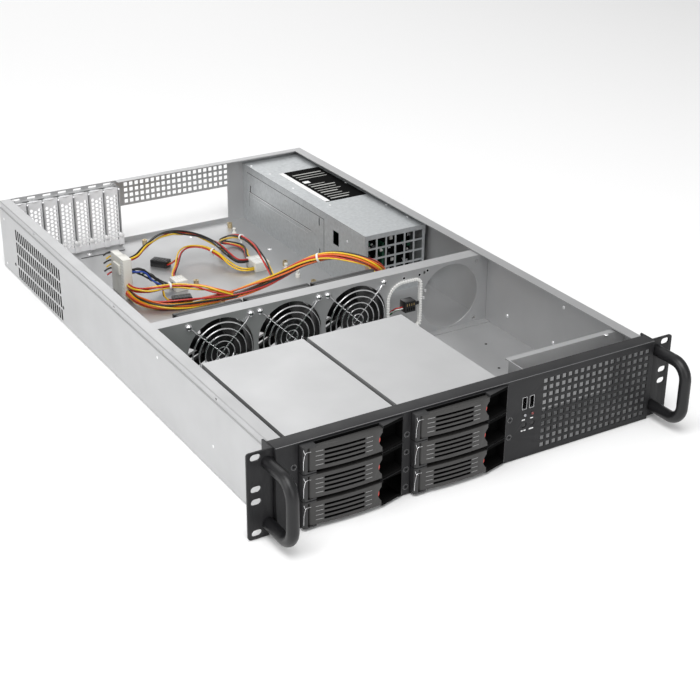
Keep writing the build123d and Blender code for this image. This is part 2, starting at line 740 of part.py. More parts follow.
def lever(x, z):
    """One swinging lever with its vents, the notch and the pocket of the release."""
    outline = make_face(
        Polyline(
            (LEVER_X0 + 10, LEVER_LEFT_Y - 0.9),
            (LEVER_X0 + 1.2, LEVER_LEFT_Y),
            (LEVER_X0, LEVER_LEFT_Y + 1.2),
            (LEVER_X0, LEVER_BACK),
            (LEVER_X1, LEVER_BACK),
            (LEVER_X1, LEVER_RIGHT_Y),
        )
        + ThreePointArc(
            (LEVER_X1, LEVER_RIGHT_Y),
            (LEVER_CROWN_X, LEVER_CROWN_Y),
            (LEVER_X0 + 10, LEVER_LEFT_Y - 0.9),
        )
    )
    body = along_z(outline, -LEVER_H / 2, LEVER_H / 2)
    body -= Pos(PIVOT_X, PIVOT_Y, 0) * Cylinder(PIN_R + PIN_PLAY, LEVER_H + 2)
    grid = [Pos(VENT_X, (row - (VENTS - 1) / 2) * VENT_PITCH) for row in range(VENTS)]
    body -= along_y(copies(Rectangle(VENT_L, VENT_H), grid), -20, 0)
    body -= along_y(notch(), -20, 0)
    play = RELEASE_PLAY
    pocket_y0 = RELEASE_Y - play
    pocket_y1 = RELEASE_Y + RELEASE_T + play
    pocket_x0 = RELEASE_X0 - RELEASE_STROKE - play
    half = RELEASE_HALF + play
    body -= block(pocket_x0, LEVER_X1 + 1, pocket_y0, pocket_y1, -half, half)
    return Pos(x, 0, z) * body


def notch():
    """The curved notch in the lever's free end, seen from the front."""
    x1 = LEVER_X1 + 0.01
    return make_face(
        Spline((x1, NOTCH_HALF + 1.8), (NOTCH_X + 1.2, NOTCH_HALF - 1.6), (NOTCH_X, 0),
               (NOTCH_X + 1.2, -NOTCH_HALF + 1.6), (x1, -NOTCH_HALF - 1.8))
        + Line((x1, -NOTCH_HALF - 1.8), (x1, NOTCH_HALF + 1.8))
    )


def release(x, z):
    """One red release button that slides in the lever's pocket."""
    outline = make_face(
        Polyline((RELEASE_X1 - 2, RELEASE_HALF), (RELEASE_X0, RELEASE_HALF),
                 (RELEASE_X0, -RELEASE_HALF), (RELEASE_X1 - 2, -RELEASE_HALF))
        + ThreePointArc((RELEASE_X1 - 2, -RELEASE_HALF), (RELEASE_X1, 0), (RELEASE_X1 - 2, RELEASE_HALF))
    )
    return Pos(x, 0, z) * along_y(outline, RELEASE_Y, RELEASE_Y + RELEASE_T)


# Front controls

def control_board():
    """Small board behind the panel with its posts, switches and light pipes."""
    board = block(CONTROL_X0, CONTROL_X1, CONTROL_Y, CONTROL_Y + BOARD_T, CONTROL_Z0, CONTROL_Z1)
    for z in (CONTROL_Z0 + 3.5, CONTROL_Z1 - 1.8):
        board += rod_y((USB_XS[0] + USB_XS[1]) / 2, z, 1.8, PANEL_T, CONTROL_Y)
    for x in BUTTON_XS:
        board += block(x - 3, x + 3, SWITCH_Y, CONTROL_Y, BUTTON_Z - 3, BUTTON_Z + 3)
    return board


def usb_ports():
    """Two upright port shells with their tongues."""
    ports = []
    for x in USB_XS:
        wide = USB_W / 2
        high = USB_H / 2
        wall = USB_WALL
        shell = block(x - wide, x + wide, 0.3, CONTROL_Y, USB_Z - high, USB_Z + high)
        shell -= block(x - wide + wall, x + wide - wall, 0, CONTROL_Y - 2, USB_Z - high + wall, USB_Z + high - wall)
        shell += block(x - USB_TONGUE / 2, x + USB_TONGUE / 2, 2, CONTROL_Y, USB_Z - high + 1, USB_Z + high - 1)
        ports.append(shell)
    return Compound(ports)


def indicator_light(x):
    """One round light pipe."""
    return rod_y(x, LED_Z, LED_R, -0.4, CONTROL_Y)


def button(x):
    """One round push button."""
    return rod_y(x, BUTTON_Z, BUTTON_R, BUTTON_FACE_Y, BUTTON_END_Y)


# Fans

def fan_wall():
    """The wall across the chassis with the fan openings and the cable opening."""
    outline = wall_outline(SHEET, WALL_TOP)
    outline -= copies(Circle(FAN_BORE_R + 0.3), [Pos(x, FAN_Z) for x in (*FAN_XS, SPARE_FAN_X)])
    holes = [Pos(x, z) for fan_x in (*FAN_XS, SPARE_FAN_X) for x, z in fan_screw_places(fan_x)]
    outline -= copies(Circle(FAN_HOLE_R), holes)
    outline -= cable_opening()
    wall = along_y(outline, WALL_Y, WALL_Y + SHEET)
    wall += block(-SEAT_INNER, SEAT_INNER, WALL_Y, WALL_Y + WALL_FLANGE, WALL_TOP - SHEET, WALL_TOP)
    foot = INNER_HALF - WALL_PLAY
    wall += block(-foot, foot, WALL_Y - WALL_FOOT, WALL_Y, SHEET, 2 * SHEET)
    return wall


def fan_screw_places(x):
    """The four screw places around a fan."""
    reach = FAN_SPAN / 2
    return [(x + i * reach, FAN_Z + k * reach) for i in (-1, 1) for k in (-1, 1)]


def cable_opening():
    """The opening beside the third fan, with one large rounded corner."""
    outline = rect(PASS_X0, PASS_X1, PASS_Z0, PASS_Z1)
    big = outline.vertices().sort_by_distance((PASS_X0, PASS_Z1, 0))[0]
    outline = fillet(big, PASS_R_BIG)
    rest = outline.vertices().group_by(Axis.X)[-1] + outline.vertices().sort_by_distance((PASS_X0, PASS_Z0, 0))[:1]
    return fillet(rest, PASS_R_SMALL)


def edge_trim():
    """The plastic strip pressed over the edge of the cable opening."""
    y0 = WALL_Y - TRIM_SIDE
    y1 = WALL_Y + SHEET + TRIM_SIDE
    opening = cable_opening()
    strip = along_y(offset(opening, TRIM_COVER) - offset(opening, -TRIM_IN), y0, y1)
    groove = along_y(offset(opening, TRIM_COVER + 1) - opening, WALL_Y, WALL_Y + SHEET)
    return strip - groove


def fan_frame(x, z, y, size, bore, depth, span):
    """One square fan frame with its hub plate and struts."""
    reach = span / 2
    ring = RectangleRounded(size, size, 4) - Circle(bore)
    ring -= copies(Circle(FAN_HOLE_R), [Pos(i * reach, k * reach) for i in (-1, 1) for k in (-1, 1)])
    frame = along_y(ring, y, y + depth)
    hub = HUB_R if size > PSU_FAN else PSU_HUB_R
    spider = Circle(hub) + copies(Rectangle(2 * bore + 1, FAN_STRUT_W), [Rot(0, 0, 20), Rot(0, 0, 110)])
    spider -= Circle(AXLE_R + AXLE_PLAY)
    frame += along_y(spider, y + depth - FAN_HUB_PLATE, y + depth)
    return Pos(x, 0, z) * frame


def fan_rotor(x, z, y, radius, hub, chord, depth):
    """One fan rotor with swept blades around a hub, and its axle."""
    y0 = y + ROTOR_Y0
    y1 = y + ROTOR_Y1
    middle = (y0 + y1) / 2
    blade = fan_blade(chord)
    blades = Part()
    for index in range(BLADES):
        blades += Rot(0, 360 / BLADES * index, 0) * blade
    outer = rod_y(0, 0, radius, -depth, depth)
    blades = Pos(0, middle, 0) * (outer & blades)
    hub_part = rod_y(0, 0, hub, y0, y1)
    axle = rod_y(0, 0, AXLE_R, y1, y + depth - 0.5)
    return Pos(x, 0, z) * (blades + hub_part + axle)


def fan_blade(chord):
    """One cambered blade pointing along X, to be trimmed by the rotor's rim."""
    turn = math.radians(BLADE_PITCH)
    along = (math.sin(turn) * chord / 2, math.cos(turn) * chord / 2)
    sag = BLADE_CAMBER_R - math.sqrt(BLADE_CAMBER_R**2 - chord**2 / 4)
    middle = (math.cos(turn) * sag, -math.sin(turn) * sag)
    arc = ThreePointArc((-along[0], -along[1]), middle, along)
    return along_x(trace(arc, line_width=BLADE_T), chord / 2, 60)


def fan_guard(x):
    """Wire rings on two crossed spokes that end in eyelets at the screws."""
    reach = FAN_SPAN / 2
    y2 = WALL_Y
    y1 = y2 - GUARD_WIRE
    y0 = y1 - GUARD_WIRE
    eyelets = copies(
        RegularPolygon(FAN_SCREW_HEAD_R + 0.6, 12) - Circle(FAN_HOLE_R),
        [Pos(i * reach, k * reach) for i in (-1, 1) for k in (-1, 1)],
    )
    guard = along_y(eyelets, y1, y2)
    spoke_l = 2 * (reach * math.sqrt(2) - FAN_SCREW_HEAD_R - 0.3)
    spokes = copies(Rectangle(spoke_l, GUARD_WIRE), [Rot(0, 0, 45), Rot(0, 0, 135)])
    guard += along_y(spokes, y0, y1)
    rings = Sketch()
    for radius in GUARD_RINGS:
        outer = RegularPolygon(radius + GUARD_WIRE / 2, GUARD_SIDES)
        rings += outer - RegularPolygon(radius - GUARD_WIRE / 2, GUARD_SIDES)
    guard += along_y(rings, y0 - GUARD_WIRE, y0)
    return Pos(x, 0, FAN_Z) * guard


def fan_screws():
    """The screws through the eyelets and the wall into each fan frame."""
    y0 = WALL_Y - GUARD_WIRE
    screws = []
    for fan_x in FAN_XS:
        for x, z in fan_screw_places(fan_x):
            head = rod_y(x, z, FAN_SCREW_HEAD_R, y0 - 2, y0)
            screws.append(head + rod_y(x, z, FAN_SCREW_R, y0, y0 + FAN_SCREW_L))
    return Compound(screws)


# Power supply

def psu_case():
    """The supply's lower shell with its grille, fan and inlet openings."""
    x0 = PSU_X0 + PSU_SHEET
    x1 = PSU_X0 + PSU_W - PSU_SHEET
    z0 = SHEET
    z1 = SHEET + PSU_H - PSU_SHEET
    t = PSU_SHEET
    case = block(x0, x1, PSU_Y, REAR_Y, z0, z1)
    case -= block(x0 + t, x1 - t, PSU_Y + t, REAR_Y - t, z0 + t, z1 + 1)
    middle = (x0 + x1) / 2
    exit_x, _, exit_z = LOOM_MAIN[0]
    centre = Pos(middle, PSU_GRID_Z)
    cells = [centre * cell for cell in GridLocations(PSU_GRID_PITCH, PSU_GRID_PITCH, PSU_GRID_COLS, PSU_GRID_ROWS)]
    reach = PSU_GRID_PITCH
    open_cells = [c for c in cells if math.dist((c.position.X, c.position.Y), (exit_x, exit_z)) > reach]
    front = copies(Rectangle(PSU_GRID_HOLE, PSU_GRID_HOLE), open_cells)
    front += Pos(exit_x, exit_z) * Circle(LOOM_MAIN_D / 2 + CORD_EXIT_PLAY)
    case -= along_y(front, PSU_Y - 1, PSU_Y + t + 1)
    rear = Pos(PSU_X0 + PSU_FAN_X, PSU_FAN_Z) * Circle(PSU_FAN_BORE_R)
    rear += Pos(PSU_X0 + INLET_X, INLET_Z) * Rectangle(INLET_W, INLET_H)
    case -= along_y(rear, REAR_Y - t - 1, REAR_Y + 1)
    slots = copies(Rectangle(*PSU_SIDE_SLOT), [Pos(PSU_Y + y, z) for y, z in PSU_SIDE_SLOTS])
    window_y, window_z = PSU_SIDE_WINDOW
    slots += Pos(PSU_Y + window_y, window_z) * Rectangle(*PSU_SIDE_WINDOW_SIZE)
    return case - along_x(slots, x0 - 1, x0 + t + 1)


def psu_cover():
    """The supply's lid with a flap over each side at the front."""
    top = SHEET + PSU_H
    t = PSU_SHEET
    lid = block(PSU_X0, PSU_X0 + PSU_W, PSU_Y, REAR_Y, top - t, top)
    low = top - PSU_FLAP_H
    near, far = PSU_FLAP_YS
    flap = Polygon((PSU_Y, top), (PSU_Y, low), (PSU_Y + near, low), (PSU_Y + far, top), align=None)
    lid += along_x(flap, PSU_X0, PSU_X0 + t)
    lid += along_x(flap, PSU_X0 + PSU_W - t, PSU_X0 + PSU_W)
    return lid


def psu_inlet():
    """The mains inlet with its three flat pins."""
    x = PSU_X0 + INLET_X
    y0 = REAR_Y - 18
    wide = INLET_W / 2
    high = INLET_H / 2
    body = block(x - wide, x + wide, y0, REAR_Y, INLET_Z - high, INLET_Z + high)
    body -= block(x - wide + 2, x + wide - 2, y0 + 3, REAR_Y + 1, INLET_Z - high + 2, INLET_Z + high - 2)
    for dx, dz in ((-3, -6), (-3, 6), (3, 0)):
        body += block(x + dx - 1, x + dx + 1, y0 + 3, REAR_Y - 2, INLET_Z + dz - 2.5, INLET_Z + dz + 2.5)
    return body


def psu_board():
    """The supply's circuit board on its posts, with its larger parts."""
    x0 = PSU_X0 + 4
    x1 = PSU_X0 + PSU_W - 4
    y0 = PSU_Y + 6
    y1 = REAR_Y - 34
    floor = SHEET + PSU_SHEET
    z0 = floor + 5
    board = block(x0, x1, y0, y1, z0, z0 + BOARD_T)
    for x in (x0 + 5, x1 - 5):
        for y in (y0 + 6, y1 - 6):
            board += Pos(x, y, (floor + z0) / 2) * Cylinder(2.5, z0 - floor)
    top = z0 + BOARD_T
    board += block(x0 + SINK_X, x0 + SINK_X + SINK_T, y0 + SINK_ENDS[0], y1 - SINK_ENDS[1], top, top + SINK_H)
    for place, size in ((COIL_PLACE, COIL_SIZE), (FILTER_PLACE, FILTER_SIZE)):
        x = x0 + place[0]
        y = y0 + place[1]
        board += block(x, x + size[0], y, y + size[1], top, top + size[2])
    loom_x, loom_y, loom_z = LOOM_MAIN[0]
    loom_y += BODY_D
    board += block(loom_x - 6, loom_x + 6, loom_y, loom_y + 6, top, loom_z + 6)
    for y in SMALL_CAP_YS:
        board += Pos(x0 + SMALL_CAP_X, y0 + y, top + SMALL_CAP_H / 2) * Cylinder(SMALL_CAP_R, SMALL_CAP_H)
    for y in LARGE_CAP_YS:
        board += Pos(x0 + LARGE_CAP_X, y0 + y, top + LARGE_CAP_H / 2) * Cylinder(LARGE_CAP_R, LARGE_CAP_H)
    return board


# Board space

def standoffs():
    """Posts for a full-size board on the chassis floor."""
    posts = []
    for x in STANDOFF_XS:
        for y in STANDOFF_YS:
            post = Pos(x, y, SHEET + STANDOFF_H / 2) * Cylinder(STANDOFF_R, STANDOFF_H)
            post -= Pos(x, y, SHEET + STANDOFF_H) * Cylinder(STANDOFF_BORE_R, STANDOFF_H)
            posts.append(post)
    return Compound(posts)


# Looms

def cord(name, diameter, points, zero_y):
    """A plain tube along straight runs joined by tangent arcs, as large as the runs allow."""
    places = [Vector(x, zero_y + y, z) for x, y, z in points]
    radii = []
    for before, here, after in zip(places, places[1:], places[2:]):
        run_in = here - before
        run_out = after - here
        turn = math.radians(run_in.get_angle(run_out))
        shorter = min(run_in.length, run_out.length)
        radii.append(0.45 * shorter / math.tan(turn / 2))
    path = FilletPolyline(*places, radius=radii)
    start = Plane(places[0], z_dir=places[1] - places[0])
    tube = sweep(start * Circle(diameter / 2), path=path)
    expected = math.pi * diameter**2 / 4 * path.length
    print(name, "radii", [round(radius, 1) for radius in radii], "length", round(path.length, 1),
          "volume over expected", round(tube.volume / expected, 4))
    return tube


def cable_tie(points, index, diameter):
    """A strap around a loom at the middle of one run, with its square head."""
    before, after = [Vector(x, BODY_D + y, z) for x, y, z in points[index:index + 2]]
    plane = Plane((before + after) * 0.5, z_dir=after - before)
    inner = diameter / 2 + TIE_PLAY
    outer = inner + TIE_T
    head = Pos(0, outer + TIE_HEAD / 2 - 0.8) * Rectangle(TIE_HEAD, TIE_HEAD)
    section = Circle(outer) + head - Circle(inner)
    return extrude(plane * section, amount=TIE_W / 2, both=True)


def plug(limits):
    """The plain body of a plug between its limits."""
    (x0, x1), (y0, y1), (z0, z1) = limits
    return block(x0, x1, BODY_D + y0, BODY_D + y1, z0, z1)


def plug_main():
    """The joined pair of main connectors, standing on end, with their latch."""
    (x0, x1), (y0, y1), (z0, z1) = PLUG_MAIN
    y0 += BODY_D
    y1 += BODY_D
    middle = (y0 + y1) / 2
    body = block(x0, x1, y0, middle, z0, z1)
    body += block(x0 + 0.8, x1 - 0.8, middle, y1, z0, z1 - 1.2)
    body += block(x0 - 2.4, x0, middle - 11, middle + 7, z1 - 21, z1 - 9)
    return body


def plug_fan():
    """The fan's plug and the arm that clips it to the edge strip."""
    (x0, x1), (y0, y1), (z0, z1) = PLUG_FAN
    y0 += WALL_Y
    y1 += WALL_Y
    middle = (y0 + y1) / 2
    body = block(x0, x1, y0, y1, z0, z1)
    body -= block(x0 + 3, x1 - 3, y0 - 1, y0 + 2, z0 + 3, z0 + 5.5)
    body -= block(x0 + 3, x1 - 3, y0 - 1, y0 + 2, z1 - 5.5, z1 - 3)
    reach = PASS_X1 - TRIM_IN
    half = PLUG_FAN_ARM / 2
    return body + block(x1, reach, middle - 1, middle + 1, (z0 + z1) / 2 - half, (z0 + z1) / 2 + half)


def chassis_nodes():
    """Sheet metal, ears and handles."""
    return {
        "base_tray": base_tray(),
        "rear_panel": rear_panel(),
        "slot_covers": slot_covers(),
        "slot_clamp": slot_clamp(),
        "front_panel": front_panel(),
        "machine_screws": Compound([*panel_screws(), *fan_screws()]),
        "rack_ears": Compound([ear(-1), ear(1)]),
        "handle_left": handle(-1),
        "handle_right": handle(1),
        "front_bracket": front_bracket(),
        "standoffs": standoffs(),
    }


def bay_nodes():
    """Cages, backplanes and the six trays with their moving parts."""
    nodes = {
        "drive_cages": Compound([cage(x) for x in BAY_XS]),
        "backplanes": backplanes(),
    }
    number = 0
    for x in BAY_XS:
        for z in TRAY_ROWS:
            number += 1
            nodes[f"tray_{number}"] = tray(x, z)
            nodes[f"lever_{number}"] = lever(x, z)
            nodes[f"release_{number}"] = release(x, z)
    return nodes


def control_nodes():
    """The small parts behind the panel's control holes."""
    return {
        "control_board": control_board(),
        "usb_ports": usb_ports(),
        "indicator_lights": Compound([indicator_light(x) for x in LED_XS]),
        "button_left": button(BUTTON_XS[0]),
        "button_right": button(BUTTON_XS[1]),
    }


def fan_nodes():
    """The wall with its three fans."""
    nodes = {"fan_wall": fan_wall(), "edge_trim": edge_trim()}
    frames = [fan_frame(PSU_X0 + PSU_FAN_X, PSU_FAN_Z, PSU_FAN_Y, PSU_FAN, PSU_FAN_BORE_R, FAN_DEPTH, PSU_FAN_SPAN)]
    guards = []
    for number, x in enumerate(FAN_XS, 1):
        frames.append(fan_frame(x, FAN_Z, FAN_Y, FAN_SIZE, FAN_BORE_R, FAN_DEPTH, FAN_SPAN))
        guards.append(fan_guard(x))
        nodes[f"fan_rotor_{number}"] = fan_rotor(x, FAN_Z, FAN_Y, ROTOR_R, HUB_R, BLADE_CHORD, FAN_DEPTH)
    nodes["fan_frames"] = Compound(frames)
    nodes["fan_guards"] = Compound(guards)
    return nodes


def supply_nodes():
    """The power supply and its parts."""
    x = PSU_X0 + PSU_FAN_X
    rotor = fan_rotor(x, PSU_FAN_Z, PSU_FAN_Y, PSU_ROTOR_R, PSU_HUB_R, PSU_BLADE_CHORD, FAN_DEPTH)
    return {
        "psu_case": psu_case(),
        "psu_cover": psu_cover(),
        "psu_inlet": psu_inlet(),
        "psu_board": psu_board(),
        "psu_fan_rotor": rotor,
    }


def loom_nodes():
    """The looms that lie in the board space, their plugs and their ties."""
    return {
        "loom_main": cord("loom_main", LOOM_MAIN_D, LOOM_MAIN, BODY_D),
        "loom_arc": cord("loom_arc", LOOM_ARC_D, LOOM_ARC, BODY_D),
        "loom_right": cord("loom_right", LOOM_RIGHT_D, LOOM_RIGHT, BODY_D),
        "loom_loop": cord("loom_loop", LOOM_LOOP_D, LOOM_LOOP, BODY_D),
        "loom_front": cord("loom_front", LOOM_FRONT_D, LOOM_FRONT, BODY_D),
        "loom_black": cord("loom_black", LOOM_BLACK_D, LOOM_BLACK, BODY_D),
        "fan_lead": cord("fan_lead", FAN_LEAD_D, FAN_LEAD, WALL_Y),
        "plug_main": plug_main(),
        "plug_square": plug(PLUG_SQUARE),
        "plug_eight": plug(PLUG_EIGHT),
        "plug_fan": plug_fan(),
        "cable_ties": Compound([cable_tie(*tie) for tie in TIES]),
    }


if __name__ == "__main__":
    os.makedirs("parts", exist_ok=True)
    nodes = {
        **chassis_nodes(),
        **bay_nodes(),
        **control_nodes(),
        **fan_nodes(),
        **supply_nodes(),
        **loom_nodes(),
    }
    for name, part in nodes.items():
        write(name, part)
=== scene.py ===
"""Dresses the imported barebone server: finishes, fine parts, looms, light and camera.

Sizes are in millimetres, with Y counted from the face of the front panel, as in the part's source.
"""

import json
import logging
import math
import random
from collections.abc import Iterable, Sequence
from dataclasses import dataclass, field
from enum import Enum

import bmesh
import bpy
from mathutils import Matrix, Vector


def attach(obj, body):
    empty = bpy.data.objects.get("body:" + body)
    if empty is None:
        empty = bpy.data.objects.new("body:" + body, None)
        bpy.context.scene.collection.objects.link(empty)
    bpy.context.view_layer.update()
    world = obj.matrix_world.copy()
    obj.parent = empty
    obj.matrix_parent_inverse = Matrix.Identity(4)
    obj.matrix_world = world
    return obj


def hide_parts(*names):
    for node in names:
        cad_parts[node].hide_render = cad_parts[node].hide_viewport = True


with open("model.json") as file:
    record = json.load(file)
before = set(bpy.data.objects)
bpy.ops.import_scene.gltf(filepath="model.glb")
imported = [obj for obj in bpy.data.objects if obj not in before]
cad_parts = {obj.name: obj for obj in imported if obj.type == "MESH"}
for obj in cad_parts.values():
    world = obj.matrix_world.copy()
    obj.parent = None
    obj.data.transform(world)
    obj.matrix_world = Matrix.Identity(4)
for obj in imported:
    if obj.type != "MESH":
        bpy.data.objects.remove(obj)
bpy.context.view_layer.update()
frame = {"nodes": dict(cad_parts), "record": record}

LOG = logging.getLogger("server")

MM = 0.001
BODY_D = 720.0
HALF_W = 215.0
FLOOR_TOP = 1.2
FAN_XS = (-128.5, -46.0, 36.5)
FAN_Z = 42.7
FAN_REACH = 35.75
WALL_Y = 280.0
WALL_T = 1.2
BAY_XS = (-138.0, -20.7)
TRAY_ROWS = (72.0, 44.0, 16.0)
SUPPLY_X0 = 123.0
SUPPLY_TOP = 80.8
CROSS_HALF = 0.35

Point = tuple[float, float, float]


class Axis(Enum):
    """The direction that a round part points in."""

    X = "X"
    Y = "Y"
    Z = "Z"

    def turn(self) -> Matrix:
        """The turn that takes +Z to this direction."""
        if self is Axis.X:
            return Matrix.Rotation(math.pi / 2, 4, "Y")
        if self is Axis.Y:
            return Matrix.Rotation(-math.pi / 2, 4, "X")
        return Matrix.Identity(4)


class Slot(Enum):
    """The names of the record's material slots."""

    ZINC = "zinc_sheet"
    SUPPLY = "supply_sheet"
    BLACK = "black_paint"
    HANDLE = "handle_black"
    SCREW = "screw_steel"
    BOARD = "board_green"
    TRAY = "tray_plastic"
    LEVER = "lever_plastic"
    RED = "release_red"
    PORT = "port_steel"
    LIGHT = "light_pipe"
    MOULDED = "black_plastic"
    GUARD = "guard_wire"
    NYLON = "white_nylon"
    NATURAL = "natural_nylon"
    WIRES = "wire_bundle"
    WIRE_BLACK = "wire_black"


def at(x: float, y: float, z: float) -> Vector:
    """A place in the frame, in metres, from millimetres counted from the front panel."""
    return Vector((x, y - BODY_D / 2, z)) * MM


@dataclass(frozen=True)
class Finish:
    """A surface finish, made of procedural nodes on object coordinates.

    Args:
        name: The finish in plain words.
        colour: Linear red, green and blue.
        roughness: Roughness of the surface.
        metallic: 1 for bare metal and 0 for paint and plastic.
        mottle: Share by which the brightness wanders.
        mottle_size: Scale of that wandering, per metre.
        wear: Share by which the roughness wanders.
        grain: Height of the fine relief, in millimetres.
        grain_size: Scale of the relief, per metre.
        coat: Weight of a clear coat.
        glow: Strength of the light that the surface gives off.
        gloss: Strength of the plain reflection, 0.5 for most plastics.
    """

    name: str
    colour: tuple[float, float, float]
    roughness: float
    metallic: float = 0.0
    mottle: float = 0.0
    mottle_size: float = 40.0
    wear: float = 0.0
    grain: float = 0.0
    grain_size: float = 900.0
    coat: float = 0.0
    glow: float = 0.0
    gloss: float = 0.5

    def material(self) -> bpy.types.Material:
        """Makes the material once, and gives it again later."""
        made = bpy.data.materials.get(self.name)
        if made:
            return made
        made = bpy.data.materials.new(self.name)
        made.use_nodes = True
        nodes = made.node_tree.nodes
        links = made.node_tree.links
        shader = nodes["Principled BSDF"]
        shader.inputs["Base Color"].default_value = (*self.colour, 1)
        shader.inputs["Roughness"].default_value = self.roughness
        shader.inputs["Metallic"].default_value = self.metallic
        shader.inputs["Coat Weight"].default_value = self.coat
        shader.inputs["Coat Roughness"].default_value = 0.15
        shader.inputs["Specular IOR Level"].default_value = self.gloss
        if self.glow:
            shader.inputs["Emission Color"].default_value = (*self.colour, 1)
            shader.inputs["Emission Strength"].default_value = self.glow
        place = nodes.new("ShaderNodeTexCoord")
        if self.mottle:
            shade = nodes.new("ShaderNodeHueSaturation")
            shade.inputs["Color"].default_value = (*self.colour, 1)
            wander = self.wander(made, place, self.mottle_size, 1 - self.mottle, 1 + self.mottle)
            links.new(wander, shade.inputs["Value"])
            links.new(shade.outputs["Color"], shader.inputs["Base Color"])
        if self.wear:
            low = self.roughness * (1 - self.wear)
            high = min(1.0, self.roughness * (1 + self.wear))
            links.new(self.wander(made, place, self.mottle_size * 0.6, low, high), shader.inputs["Roughness"])
        if self.grain:
            noise = nodes.new("ShaderNodeTexNoise")
            noise.inputs["Scale"].default_value = self.grain_size
            noise.inputs["Detail"].default_value = 3
            relief = nodes.new("ShaderNodeBump")
            relief.inputs["Strength"].default_value = 0.6
            relief.inputs["Distance"].default_value = self.grain * MM
            links.new(place.outputs["Object"], noise.inputs["Vector"])
            links.new(noise.outputs["Fac"], relief.inputs["Height"])
            links.new(relief.outputs["Normal"], shader.inputs["Normal"])
        return made

    def wander(
        self,
        made: bpy.types.Material,
        place: bpy.types.Node,
        size: float,
        low: float,
        high: float,
    ) -> bpy.types.NodeSocket:
        """A number that wanders over the surface.

        Args:
            made: The material that the nodes go into.
            place: The node that gives the coordinates.
            size: Scale of the noise, per metre.
            low: The lower number.
            high: The higher number.

        Returns:
            The socket that gives the number.
        """
        noise = made.node_tree.nodes.new("ShaderNodeTexNoise")
        noise.inputs["Scale"].default_value = size
        noise.inputs["Detail"].default_value = 4
        spread = made.node_tree.nodes.new("ShaderNodeMapRange")
        spread.inputs["From Min"].default_value = 0.3
        spread.inputs["From Max"].default_value = 0.7
        spread.inputs["To Min"].default_value = low
        spread.inputs["To Max"].default_value = high
        made.node_tree.links.new(place.outputs["Object"], noise.inputs["Vector"])
        made.node_tree.links.new(noise.outputs["Fac"], spread.inputs["Value"])
        return spread.outputs["Result"]


ZINC = Finish("zinc sheet", (0.5, 0.503, 0.507), 0.42, 0.75, 0.025, 30, 0.12, 0.012, 2500)
CAGE_ZINC = Finish("cage zinc sheet", (0.58, 0.583, 0.587), 0.46, 0.7, 0.02, 30, 0.12, 0.012, 2500)
# Zinc painted pale and barely metallic: painted light for the bright reflection on the card covers and their
# foot tabs.
ZINC_PAINTED_LIT = Finish("zinc sheet painted lit", (0.84, 0.84, 0.85), 0.5, 0.2, 0.02, 30, 0.1, 0.01, 2500)
# Brighter, glossier zinc: the plated rivets and screw heads, and painted highlight on rims, folds and bent
# edges.
ZINC_BRIGHT = Finish("bright zinc and painted edge highlight", (0.8, 0.8, 0.81), 0.3, 0.8)
SUPPLY_ZINC = Finish("supply zinc sheet", (0.52, 0.54, 0.55), 0.45, 0.7, 0.08, 260, 0.2, 0.02, 1800)
BLACK_COAT = Finish(
    "black powder coat", (0.015, 0.015, 0.0162), 0.5, 0.0, 0.05, 60, 0.1, 0.05, 1600, gloss=0.3,
)
HANDLE_COAT = Finish(
    "satin black bar", (0.008, 0.008, 0.0088), 0.36, 0.0, 0.0, 40, 0.1, 0.01, 1500, gloss=0.4,
)
SCREW_STEEL = Finish("plated steel", (0.72, 0.72, 0.73), 0.22, 1.0)
SCREW_BLACK = Finish("black screw", (0.03, 0.03, 0.032), 0.35, 0.4)
BRASS = Finish("standoff brass", (0.62, 0.5, 0.3), 0.35, 1.0)
BOARD_GREEN = Finish("circuit board green", (0.01, 0.08, 0.04), 0.45)
TRAY_GREY = Finish("tray plastic", (0.02, 0.02, 0.021), 0.5, 0.0, 0.0, 40, 0.1, 0.02, 2200)
LEVER_GREY = Finish("lever plastic", (0.032, 0.031, 0.03), 0.42, 0.0, 0.05, 50, 0.1, 0.02, 2200)
RELEASE_RED = Finish("release red", (0.62, 0.045, 0.03), 0.35, coat=0.3)
PORT_STEEL = Finish("port steel", (0.75, 0.75, 0.76), 0.25, 1.0)
PIPE_CLEAR = Finish("clear light", (0.3, 0.3, 0.32), 0.15, coat=0.5)
PIPE_RED = Finish("red light", (0.16, 0.008, 0.008), 0.15, coat=0.5)
MOULDED_BLACK = Finish("moulded black", (0.007, 0.007, 0.0075), 0.34, coat=0.1)
# Matt black: the port tongues' own colour, and painted shade in holes, slots, recesses and gaps.
MATT_BLACK_AND_SHADE = Finish("matt black", (0.003, 0.003, 0.003), 0.9, gloss=0.05)
GUARD_STEEL = Finish("bright wire", (0.8, 0.8, 0.81), 0.16, 1.0)
NYLON_WHITE = Finish("white nylon", (0.78, 0.78, 0.76), 0.4)
NYLON_NATURAL = Finish("natural nylon", (0.7, 0.69, 0.64), 0.35, coat=0.3)
# Grey of the moulded marks on the levers, also used as painted highlight on the rims of the panel screws.
MARK_AND_RIM_GREY = Finish("grey mark and painted rim highlight", (0.3, 0.3, 0.3), 0.5)
MARK_WHITE = Finish("white print", (0.75, 0.75, 0.75), 0.5)
LABEL_BLACK = Finish("black label field", (0.002, 0.002, 0.002), 0.8, gloss=0.05)
LABEL_WHITE = Finish("white label field", (0.8, 0.8, 0.8), 0.45)
LABEL_GREY = Finish("grey label bars", (0.42, 0.42, 0.4), 0.45)
SEAM_DARK = Finish("seam shade", (0.05, 0.052, 0.055), 0.7)
VENT_DARK = Finish("vent shade", (0.012, 0.012, 0.012), 0.8, gloss=0.1)
# Painted highlight for the light line along the front panel's top edge.
EDGE_SHEEN = Finish("painted panel edge highlight", (0.16, 0.16, 0.165), 0.35)
GOLD = Finish("contact gold", (0.7, 0.5, 0.2), 0.3, 1.0)
FLOOR_WHITE = Finish("studio floor", (0.92, 0.92, 0.92), 0.9)

